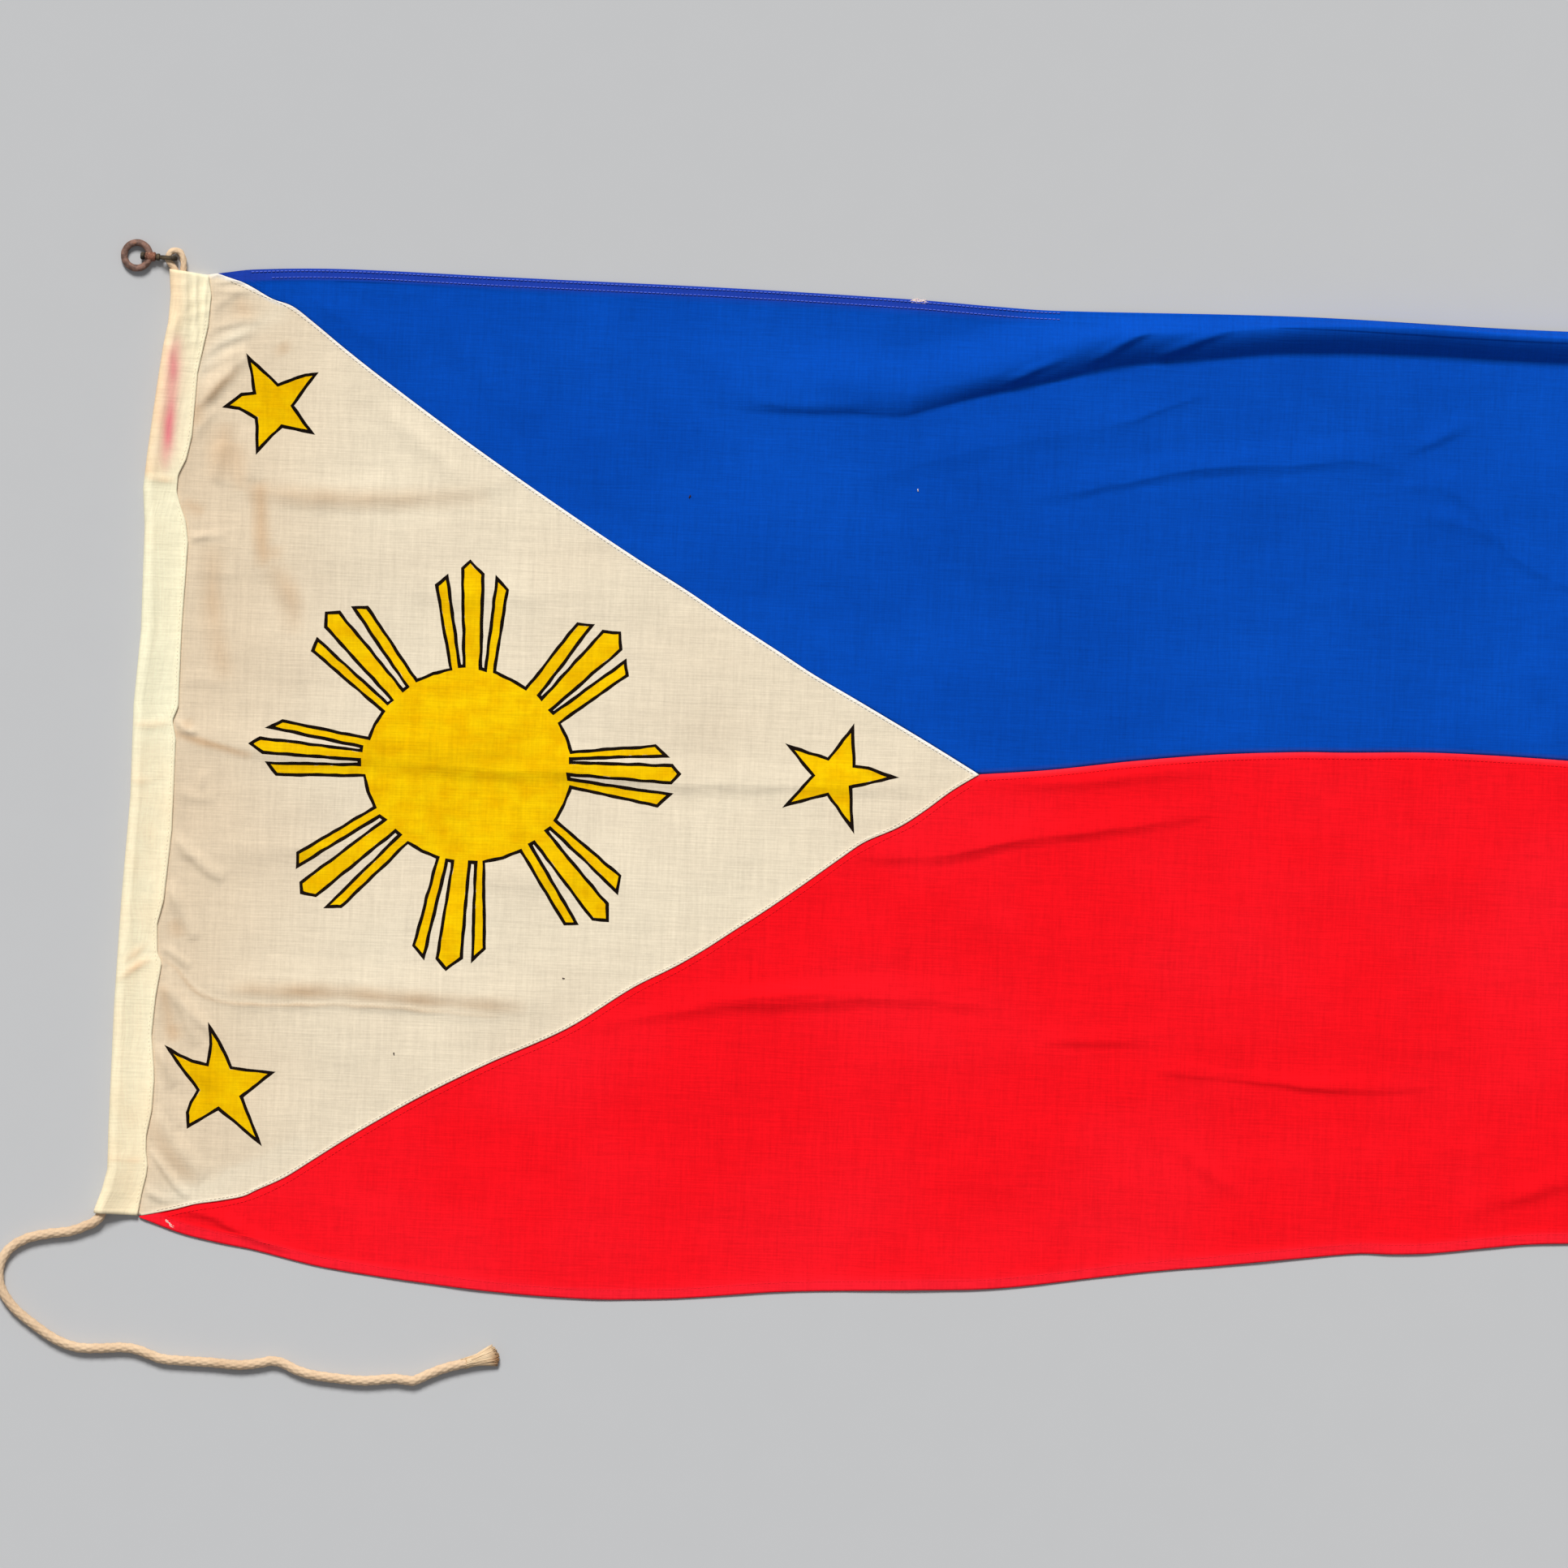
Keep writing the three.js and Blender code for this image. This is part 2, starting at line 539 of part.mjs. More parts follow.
// The tail ends in a flattened brush of loose yarn, as [distance along, half width, half height].
const FRAY = {
  start: [-415.6, -426.27],
  direction: [0.953, 0.302],
  sections: [[0, 3.7, 3.7], [6, 3.9, 3.7], [13, 5.6, 3.6], [19, 7.4, 3.2], [23, 7.9, 2.6]],
};
const fraySections = FRAY.sections.map(([along, halfWidth, halfHeight]) => circle(1, ROPE_SIDES)
  .map(([u, v]) => {
    const [dx, dy] = FRAY.direction;
    return [
      FRAY.start[0] + dx * along - dy * u * halfWidth,
      FRAY.start[1] + dy * along + dx * u * halfWidth,
      halfHeight * (1 + v) + TAIL_CENTRE - ROPE_RADIUS,
    ];
  }));
addPiece('frayed_end', loft(fraySections, circle(1, ROPE_SIDES)), FINISHES.rope);

// ---- swivel ring ----------------------------------------------------------------------------------

const clip = new THREE.Group();
clip.position.set(...RING.centre, RING.wire + RING.pitch * Math.sin(CLIP_TILT));
clip.rotation.set(0, -CLIP_TILT, CLIP_TURN, 'ZYX');
flag.add(clip);

/** The ring lies flat, and its boss on the right is bored for the swivel pin. */
function clipRing() {
  const ring = toSolid(new THREE.TorusGeometry(RING.pitch, RING.wire, 8, 24));
  const boss = toSolid(rodAlongX(BOSS.radius, BOSS.start, BOSS.end, 16));
  const bore = toSolid(rodAlongX(PIN_RADIUS + GAP, BOSS.start - 1, BOSS.end + 1, 12));
  return toGeometry(ring.add(boss).subtract(bore));
}

/** Outline with two parallel sides and round ends, centred on a point of the X axis. */
function roundEnded(target, centreX, length, height) {
  const radius = height / 2;
  const half = length / 2 - radius;
  target.absarc(centreX + half, 0, radius, -Math.PI / 2, Math.PI / 2, false);
  target.absarc(centreX - half, 0, radius, Math.PI / 2, (3 * Math.PI) / 2, false);
  return target;
}

/** The pin's head is inside the ring, and its other end carries the upright bow that holds the eye. */
function swivel() {
  const headEnd = BOSS.start - GAP;
  const collarStart = BOSS.end + GAP;
  const collarEnd = collarStart + COLLAR.length;
  const bowCentre = collarEnd - BOW.wire / 4 + BOW.length / 2;
  const outline = roundEnded(new THREE.Shape(), bowCentre, BOW.length, BOW.height);
  const eye = roundEnded(new THREE.Path(), bowCentre, BOW.length - 2 * BOW.wire, BOW.height - 2 * BOW.wire);
  outline.holes.push(eye);
  const bow = new THREE.ExtrudeGeometry(outline, { depth: BOW.thickness, bevelEnabled: false, curveSegments: 8 });
  bow.translate(0, 0, -BOW.thickness / 2);
  bow.rotateX(Math.PI / 2);
  return toGeometry(
    toSolid(rodAlongX(PIN_RADIUS, headEnd - 1, collarStart + 1, 12))
      .add(toSolid(rodAlongX(PIN_HEAD.radius, headEnd - PIN_HEAD.length, headEnd, 14)))
      .add(toSolid(rodAlongX(COLLAR.radius, collarStart, collarEnd, 14)))
      .add(toSolid(bow)),
  );
}

addPiece('clip_ring', clipRing(), FINISHES.rustyIron, clip);
addPiece('swivel', swivel(), FINISHES.rustyIron, clip);

export default flag;
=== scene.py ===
"""A cotton flag laid out flat, with a canvas heading, a hoist rope and a swivel ring.

Everything is in metres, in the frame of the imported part: +X runs along the fly, +Y up the hoist and
+Z up from the surface that the flag lies on.
"""

from __future__ import annotations

import logging
import math
from collections.abc import Callable, Sequence
from dataclasses import dataclass
from enum import Enum

import bmesh
import bpy
import numpy as np
from mathutils import Matrix, Vector
from mathutils.geometry import delaunay_2d_cdt

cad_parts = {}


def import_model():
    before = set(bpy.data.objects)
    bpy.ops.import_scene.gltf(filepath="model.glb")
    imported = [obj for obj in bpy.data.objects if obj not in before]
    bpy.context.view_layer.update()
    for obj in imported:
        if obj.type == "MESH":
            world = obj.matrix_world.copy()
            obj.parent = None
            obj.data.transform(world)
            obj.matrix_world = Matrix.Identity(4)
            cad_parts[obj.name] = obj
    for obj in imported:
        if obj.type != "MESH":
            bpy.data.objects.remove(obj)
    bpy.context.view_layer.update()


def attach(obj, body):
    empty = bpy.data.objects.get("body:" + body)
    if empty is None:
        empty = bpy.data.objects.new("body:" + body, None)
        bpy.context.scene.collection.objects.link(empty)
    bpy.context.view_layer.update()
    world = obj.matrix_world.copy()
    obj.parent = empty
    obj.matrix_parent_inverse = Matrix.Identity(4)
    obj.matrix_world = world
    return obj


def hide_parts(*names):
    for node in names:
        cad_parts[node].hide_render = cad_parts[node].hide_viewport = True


LOG = logging.getLogger("flag")

BODY = "root"
CLOTH_UV = "flat_cloth"  # each cloth's own map: where a point is on the flat cloth, in metres
HEM_TAN_AND_SHADING_MARK = "hem"  # 1 where cloth is turned over or tinted tan; along the triangle's seams it is a painted highlight, and on the heading's creases painted shade
STAIN_AND_SHADING_MARK = "stain_and_shading"  # 1 where ink or dye has bled or yarn is browned; on the triangle it is painted shade and painted light along creases and gathers, with a darker tan beside the heading, and along the red band's side of the mid seam a painted highlight
WELD = 1e-6  # points closer than this become one

Point = tuple[float, float]
Point3 = tuple[float, float, float]
Colour = tuple[float, float, float, float]
Array = np.ndarray
Placer = Callable[[Array, Array], tuple[Array, Array]]


class Slot(Enum):
    """The part's material slots."""

    UNDYED = "undyed_cotton"
    BLUE = "blue_cotton"
    RED = "red_cotton"
    CANVAS = "canvas"
    ROPE = "rope"
    IRON = "rusty_iron"


# ---- lines and curves --------------------------------------------------------------------------


@dataclass(frozen=True)
class EdgeLine:
    """A line through given points, read as one value for each place along it."""

    points: tuple[Point, ...]
    smooth: bool = True

    def at(self, place: Array | float) -> Array:
        """Reads the line.

        Args:
            place: Places along the line, in metres.

        Returns:
            The line's value at each place; past an end it keeps the end's value.
        """
        ends, values = np.array(self.points).T
        place = np.clip(np.asarray(place, float), ends[0], ends[-1])
        if not self.smooth:
            return np.interp(place, ends, values)
        before = np.maximum(np.arange(len(ends)) - 1, 0)
        after = np.minimum(np.arange(len(ends)) + 1, len(ends) - 1)
        slopes = (values[after] - values[before]) / (ends[after] - ends[before])
        i = np.clip(np.searchsorted(ends, place, side="right") - 1, 0, len(ends) - 2)
        span = ends[i + 1] - ends[i]
        t = (place - ends[i]) / span
        rest = 1 - t
        start = rest * rest * ((1 + 2 * t) * values[i] + t * span * slopes[i])
        return start + t * t * ((3 - 2 * t) * values[i + 1] - rest * span * slopes[i + 1])

    def square_distance_to(self, along: Array, value: Array) -> Array:
        """Distance of points from the line, square to it.

        Args:
            along: Places along the line.
            value: The points' other coordinate.

        Returns:
            How far each point is past the line, positive above it.
        """
        step = 0.002
        slope = (self.at(along + step) - self.at(along - step)) / (2 * step)
        return (value - self.at(along)) / np.sqrt(1 + slope**2)


def smooth_path(points: Sequence[Sequence[float]], spacing: float) -> Array:
    """A centripetal Catmull-Rom curve through given points.

    Args:
        points: The points, in two or three dimensions.
        spacing: Distance between the points returned.

    Returns:
        Evenly spaced points along the curve, both ends included.
    """
    given = np.array(points, float)
    padded = np.vstack([2 * given[0] - given[1], given, 2 * given[-1] - given[-2]])
    steps = 16
    dense = []
    for p0, p1, p2, p3 in zip(padded, padded[1:], padded[2:], padded[3:]):
        gaps = [math.sqrt(max(float(np.linalg.norm(b - a)), 1e-9)) for a, b in ((p0, p1), (p1, p2), (p2, p3))]
        into = (p1 - p0) / gaps[0] - (p2 - p0) / (gaps[0] + gaps[1]) + (p2 - p1) / gaps[1]
        out = (p2 - p1) / gaps[1] - (p3 - p1) / (gaps[1] + gaps[2]) + (p3 - p2) / gaps[2]
        t = (np.arange(steps) / steps)[:, None]
        into, out = into * gaps[1], out * gaps[1]
        dense.append(
            p1 + into * t + (-3 * p1 + 3 * p2 - 2 * into - out) * t**2 + (2 * p1 - 2 * p2 + into + out) * t**3
        )
    dense.append(given[-1:])
    line = np.vstack(dense)
    walked = np.concatenate([[0.0], np.cumsum(np.linalg.norm(np.diff(line, axis=0), axis=1))])
    count = max(int(round(walked[-1] / spacing)), 1) + 1
    wanted = np.linspace(0, walked[-1], count)
    return np.stack([np.interp(wanted, walked, line[:, axis]) for axis in range(line.shape[1])], axis=1)


def path_length(path: Array) -> float:
    """Length of a path of points."""
    return float(np.linalg.norm(np.diff(path, axis=0), axis=1).sum())


def soft_fall(t: Array) -> Array:
    """1 at zero, 0 from one on, level at both."""
    clamped = np.clip(t, 0, 1)
    return 1 - clamped * clamped * (3 - 2 * clamped)


def between(knots: Sequence[Array], rows: Sequence[int], along: Array) -> Array:
    """Shares rows out evenly between one knot line and the next.

    Args:
        knots: The value at each knot line, for every point.
        rows: How many rows lie between each knot line and the next.
        along: How far up all the rows each point is, from 0 to 1.

    Returns:
        The value at each point.
    """
    ends = np.cumsum([0, *rows])
    row = along * ends[-1]
    value = np.array(knots[0], float)
    for k, count in enumerate(rows):
        value = value + np.clip((row - ends[k]) / count, 0, 1) * (knots[k + 1] - knots[k])
    return value


def in_order(knots: Sequence[Array], gap: float) -> list[Array]:
    """Keeps knot lines in order across a band that narrows.

    Args:
        knots: Their places up the hoist, from the band's foot to its head.
        gap: The least gap between two, as a share of the band's width.

    Returns:
        The knot lines, with the first and last where they were.
    """
    least = gap * (knots[-1] - knots[0])
    placed = [knots[0]]
    for knot in knots[1:-1]:
        placed.append(np.maximum(knot, placed[-1] + least))
    above = knots[-1]
    for i in range(len(placed) - 1, 0, -1):
        placed[i] = np.minimum(placed[i], above - least)
        above = placed[i]
    return [*placed, knots[-1]]


# ---- the flag's outlines -------------------------------------------------------------------------

APEX = (-0.0595, 0.013)  # where the triangle and the two bands meet
FLY_END = 0.6947

TOP_HEM = EdgeLine((
    (-0.624, 0.357), (-0.598, 0.3608), (-0.533, 0.3634), (-0.413, 0.3616), (-0.252, 0.3594),
    (-0.116, 0.3556), (-0.06, 0.3527), (-0.016, 0.3512), (0.161, 0.353), (0.352, 0.349),
    (0.54, 0.352), (FLY_END, 0.356),
))
UPPER_SEAM = EdgeLine((
    (-0.624, 0.357), (-0.603, 0.35), (-0.584, 0.34), (-0.569, 0.335), (-0.554, 0.3243),
    (-0.53, 0.3057), (-0.506, 0.288), (-0.447, 0.2468), (-0.398, 0.2143), (-0.349, 0.183),
    (-0.31, 0.159), (-0.274, 0.1377), (-0.245, 0.1194), (-0.206, 0.0959), (-0.183, 0.0818),
    (-0.15, 0.0638), (-0.124, 0.0495), (-0.094, 0.0328), APEX,
))
LOWER_SEAM = EdgeLine((
    (-0.658, -0.3285), (-0.631, -0.3223), (-0.617, -0.3182), (-0.6, -0.3153), (-0.582, -0.3112),
    (-0.573, -0.3066), (-0.553, -0.2968), (-0.533, -0.2834), (-0.51, -0.2678), (-0.49, -0.255),
    (-0.455, -0.2339), (-0.409, -0.2094), (-0.351, -0.1811), (-0.305, -0.1503), (-0.274, -0.1334),
    (-0.253, -0.1202), (-0.232, -0.1056), (-0.213, -0.0926), (-0.197, -0.081), (-0.183, -0.0705),
    (-0.158, -0.0514), (-0.141, -0.039), (-0.116, -0.027), (-0.097, -0.0139), (-0.079, 0.0003), APEX,
))
MID_SEAM = EdgeLine((
    APEX, (-0.01, 0.0178), (0.054, 0.0268), (0.113, 0.0334), (0.172, 0.0372), (0.205, 0.038),
    (0.274, 0.0402), (0.363, 0.038), (0.52, 0.03), (FLY_END, 0.02),
))
BOTTOM_HEM = EdgeLine((
    (-0.658, -0.3289), (-0.628, -0.3394), (-0.6, -0.3456), (-0.575, -0.3498), (-0.521, -0.3612),
    (-0.433, -0.3715), (-0.38, -0.3757), (-0.326, -0.3774), (-0.3, -0.3766), (-0.262, -0.3744),
    (-0.19, -0.3673), (-0.1, -0.3631), (-0.032, -0.3592), (0.067, -0.3447), (0.126, -0.3375),
    (0.185, -0.33), (0.228, -0.325), (0.252, -0.3246), (0.28, -0.323), (0.363, -0.3132),
    (0.53, -0.31), (FLY_END, -0.318),
))

# The heading's two long edges: the height up the hoist, then the place along the fly.
HEADING_OUTER = EdgeLine((
    (-0.325, -0.69), (-0.31, -0.6847), (-0.295, -0.6812), (-0.265, -0.6815), (-0.175, -0.6805),
    (-0.1, -0.678), (-0.024, -0.674), (0.042, -0.674), (0.096, -0.6705), (0.172, -0.6705),
    (0.199, -0.6725), (0.224, -0.6705), (0.257, -0.667), (0.284, -0.664), (0.304, -0.6615),
    (0.321, -0.6585), (0.341, -0.6575), (0.359, -0.659),
), smooth=False)
HEADING_INNER = EdgeLine((
    (-0.327, -0.6583), (-0.31, -0.6554), (-0.299, -0.653), (-0.291, -0.6522), (-0.281, -0.6538),
    (-0.27, -0.654), (-0.251, -0.6505), (-0.229, -0.6496), (-0.219, -0.6502),
    (-0.197, -0.6527), (-0.169, -0.6507), (-0.144, -0.647), (-0.137, -0.6505), (-0.116, -0.6514),
    (-0.099, -0.6473), (-0.048, -0.6432), (0.019, -0.6426), (0.032, -0.6454), (0.042, -0.6416),
    (0.097, -0.6412), (0.162, -0.6387), (0.177, -0.641), (0.189, -0.6456), (0.198, -0.6482),
    (0.21, -0.6475), (0.222, -0.642), (0.239, -0.6385), (0.285, -0.636), (0.319, -0.6295),
    (0.341, -0.628), (0.356, -0.6305),
), smooth=False)


def band_foot(x: Array) -> Array:
    """Lower edge of the blue band."""
    return np.where(x < APEX[0], UPPER_SEAM.at(x), MID_SEAM.at(x))


def band_head(x: Array) -> Array:
    """Upper edge of the red band."""
    return np.where(x < APEX[0], LOWER_SEAM.at(x), MID_SEAM.at(x))


# ---- how the cloth lies --------------------------------------------------------------------------


def rolling_noise(x: Array, y: Array, seed: int) -> Array:
    """Smooth gradient noise with cells one unit wide.

    Args:
        x: First coordinate of each point, in cells.
        y: Second coordinate of each point, in cells.
        seed: Picks the pattern.

    Returns:
        Values from about -0.7 to 0.7.
    """
    size = 64
    turns = np.random.default_rng(seed).uniform(0, 2 * math.pi, (size, size))
    column, row = np.floor(x).astype(int), np.floor(y).astype(int)
    fx, fy = x - column, y - row

    def corner(dx: int, dy: int) -> Array:
        """Slope of one cell corner's gradient at each point."""
        turn = turns[(column + dx) % size, (row + dy) % size]
        return np.cos(turn) * (fx - dx) + np.sin(turn) * (fy - dy)

    ease_x, ease_y = (f**3 * (f * (6 * f - 15) + 10) for f in (fx, fy))
    near = corner(0, 0) + ease_x * (corner(1, 0) - corner(0, 0))
    far = corner(0, 1) + ease_x * (corner(1, 1) - corner(0, 1))
    return near + ease_y * (far - near)


RIDGE_STEP = 0.008  # between the points that a ridge's curve is read at
WANDER_CELL = 0.016  # size of the patches in which a ridge strays one way
FADE_CELL = 0.028  # size of the patches in which it fades


@dataclass(frozen=True)
class Ridge:
    """A ridge along a line, with its own width on each side of its crest.

    right is how far it reaches to the right of the line's direction, where it falls away sharply,
    and left how far it reaches to the left, where it falls softly.
    """

    line: tuple[Point, ...]
    height: float
    right: float
    left: float
    pinch: float = 1.6  # how sharply it falls from its crest
    unevenness: float = 0.6  # how much it fades in and out along its line
    wander: float = 0.0012  # how far it strays from its line

    def heights(self, x: Array, y: Array) -> Array:
        """Height that the ridge adds at each point.

        Args:
            x: Places along the fly.
            y: Places up the hoist.

        Returns:
            The added heights, which taper to nothing at the line's ends.
        """
        path = smooth_path(self.line, RIDGE_STEP)
        reach = max(self.right, self.left)
        low, high = path.min(axis=0) - reach, path.max(axis=0) + reach
        near = np.flatnonzero((x > low[0]) & (x < high[0]) & (y > low[1]) & (y < high[1]))
        px, py = x[near], y[near]
        strays = [self.wander * rolling_noise(px / WANDER_CELL, py / WANDER_CELL, seed) for seed in (62, 63)]
        px, py = px + strays[0], py + strays[1]
        nearest = np.full(len(near), np.inf)
        side = np.zeros(len(near))
        along = np.zeros(len(near))
        last = len(path) - 1
        for i, (start, end) in enumerate(zip(path, path[1:])):
            length = float(np.linalg.norm(end - start))
            ux, uy = (end - start) / length
            t = np.clip((px - start[0]) * ux + (py - start[1]) * uy, 0, length)
            dx, dy = px - start[0] - t * ux, py - start[1] - t * uy
            distance = np.hypot(dx, dy)
            closer = distance < nearest
            nearest = np.where(closer, distance, nearest)
            side = np.where(closer, ux * dy - uy * dx, side)
            along = np.where(closer, (i + t / length) / last, along)
        taper = np.sqrt(np.clip(np.sin(math.pi * along), 0, 1))
        taper *= 0.85 + self.unevenness * rolling_noise(px / FADE_CELL, py / FADE_CELL, 61)
        shaded = np.clip(1 - nearest / self.right, 0, 1) ** self.pinch
        lit = soft_fall(nearest / self.left)
        added = np.zeros(len(x))
        added[near] = self.height * taper * np.where(side > 0, lit, shaded)
        return added


# Creases left by storage. Each runs so that its shaded side, away from the light, is on its right.
BLUE_CREASES = (
    Ridge(((-0.026, 0.214), (0.004, 0.22), (0.057, 0.232), (0.0965, 0.2405), (0.155, 0.2443), (0.2105, 0.249),
           (0.244, 0.243)), 0.0025, 0.0075, 0.024),
    Ridge(((-0.14, 0.226), (-0.071, 0.248), (0.024, 0.268), (0.063, 0.282), (0.097, 0.293)), 0.0012, 0.013,
          0.028),
    Ridge(((0.04, 0.271), (0.072, 0.285), (0.094, 0.2935)), 0.0008, 0.0035, 0.008),
    Ridge(((0.244, 0.256), (0.268, 0.268), (0.292, 0.281)), 0.0018, 0.005, 0.014),
    Ridge(((0.23, 0.233), (0.277, 0.23), (0.319, 0.188), (0.337, 0.176), (0.358, 0.166), (0.4, 0.158)),
          0.0016, 0.0085, 0.024),
    Ridge(((0.25, 0.21), (0.285, 0.205), (0.31, 0.196)), 0.0014, 0.006, 0.014),
    Ridge(((0.334, 0.134), (0.34, 0.106), (0.345, 0.078)), 0.002, 0.0075, 0.018),
    Ridge(((0.44, 0.25), (0.51, 0.262), (0.59, 0.256)), 0.0026, 0.009, 0.026),
    Ridge(((0.47, 0.12), (0.56, 0.108), (0.65, 0.126)), 0.0024, 0.01, 0.028),
    Ridge(((-0.56, 0.345), (-0.52, 0.318), (-0.49, 0.3)), 0.0019, 0.015, 0.022),
    Ridge(((-0.47, 0.34), (-0.44, 0.3), (-0.395, 0.255)), 0.0018, 0.02, 0.026),
)
RED_CREASES = (
    Ridge(((-0.15, -0.0505), (-0.12, -0.05), (-0.083, -0.047), (-0.029, -0.034), (0.033, -0.0245),
           (0.12, -0.009)), 0.0022, 0.0075, 0.022),
    Ridge(((-0.33, -0.178), (-0.234, -0.161), (-0.175, -0.157), (-0.133, -0.152), (-0.03, -0.156)), 0.0022,
          0.0085, 0.022),
    Ridge(((-0.262, -0.161), (-0.2, -0.153), (-0.13, -0.1475)), 0.0011, 0.006, 0.012),
    Ridge(((-0.008, -0.18), (0.036, -0.178), (0.084, -0.176)), 0.0012, 0.005, 0.014),
    Ridge(((0.078, -0.199), (0.12, -0.201), (0.156, -0.2035), (0.21, -0.2065), (0.276, -0.204)), 0.0019,
          0.005, 0.016),
    Ridge(((0.085, -0.25), (0.112, -0.268), (0.142, -0.286)), 0.0014, 0.006, 0.014),
    Ridge(((-0.6259, -0.3235), (-0.6063, -0.3265), (-0.587, -0.337), (-0.561, -0.347), (-0.5375, -0.354)),
          0.0021, 0.0045, 0.012),
    Ridge(((0.302, -0.294), (0.352, -0.278), (0.374, -0.27), (0.42, -0.262)), 0.0019, 0.008, 0.02),
    Ridge(((-0.056, 0.008), (0.004, 0.0085), (0.06, 0.016), (0.11, 0.022)), 0.0018, 0.007, 0.009),
    Ridge(((0.25, -0.176), (0.275, -0.1765), (0.3, -0.175)), 0.001, 0.0045, 0.012),
    Ridge(((0.42, -0.06), (0.5, -0.074), (0.6, -0.068)), 0.0019, 0.01, 0.028),
    Ridge(((0.47, -0.19), (0.56, -0.204), (0.64, -0.196)), 0.0018, 0.009, 0.026),
)
TRIANGLE_CREASES = (
    Ridge(((-0.626, 0.205), (-0.61, 0.2052), (-0.5965, 0.203), (-0.5765, 0.1985), (-0.541, 0.196),
           (-0.494, 0.1985), (-0.447, 0.2055), (-0.4, 0.214)), 0.0019, 0.01, 0.024, 1.1),
    Ridge(((-0.6456, 0.0256), (-0.6225, 0.0174), (-0.5916, 0.0131), (-0.571, 0.0092), (-0.505, 0.009),
           (-0.4635, 0.0064), (-0.4162, 0.0034), (-0.357, 0.0042), (-0.2805, -0.002), (-0.239, -0.0006),
           (-0.187, -0.0006), (-0.095, 0.001)), 0.0023, 0.009, 0.026, 1.2),
    Ridge(((-0.6303, -0.146), (-0.612, -0.159), (-0.599, -0.163), (-0.56, -0.16), (-0.517, -0.1595),
           (-0.457, -0.162), (-0.3865, -0.165), (-0.36, -0.17)), 0.0023, 0.012, 0.026, 0.9),
    Ridge(((-0.6482, -0.1405), (-0.641, -0.145), (-0.6313, -0.1529), (-0.6203, -0.1643), (-0.6047, -0.1697),
           (-0.5976, -0.1724), (-0.5104, -0.1705), (-0.4, -0.1755)), 0.0012, 0.006, 0.0026),
    Ridge(((-0.2802, 0.155), (-0.275, 0.0375), (-0.271, -0.139)), 0.0009, 0.008, 0.006),
    Ridge(((-0.589, 0.204), (-0.5865, 0.18), (-0.5835, 0.156), (-0.572, 0.133), (-0.556, 0.11)), 0.0016,
          0.013, 0.016),
    Ridge(((-0.618, 0.2365), (-0.62, 0.221), (-0.6215, 0.2055)), 0.0024, 0.009, 0.012),
    Ridge(((-0.6, 0.248), (-0.596, 0.226), (-0.596, 0.207)), 0.0022, 0.012, 0.016),
    Ridge(((-0.6387, 0.163), (-0.6305, 0.1645), (-0.6223, 0.166)), 0.0008, 0.003, 0.006),
    Ridge(((-0.6235, -0.004), (-0.624, -0.011), (-0.6245, -0.018)), 0.0009, 0.004, 0.007),
    Ridge(((-0.455, -0.072), (-0.392, -0.078), (-0.33, -0.07)), 0.0012, 0.014, 0.024),
    Ridge(((-0.48, 0.13), (-0.42, 0.128), (-0.35, 0.134)), 0.0011, 0.014, 0.026),
    Ridge(((-0.44, 0.214), (-0.47, 0.24), (-0.515, 0.276)), 0.0014, 0.01, 0.014),
    Ridge(((-0.61, -0.056), (-0.56, -0.06), (-0.5, -0.058)), 0.0011, 0.012, 0.02),
)

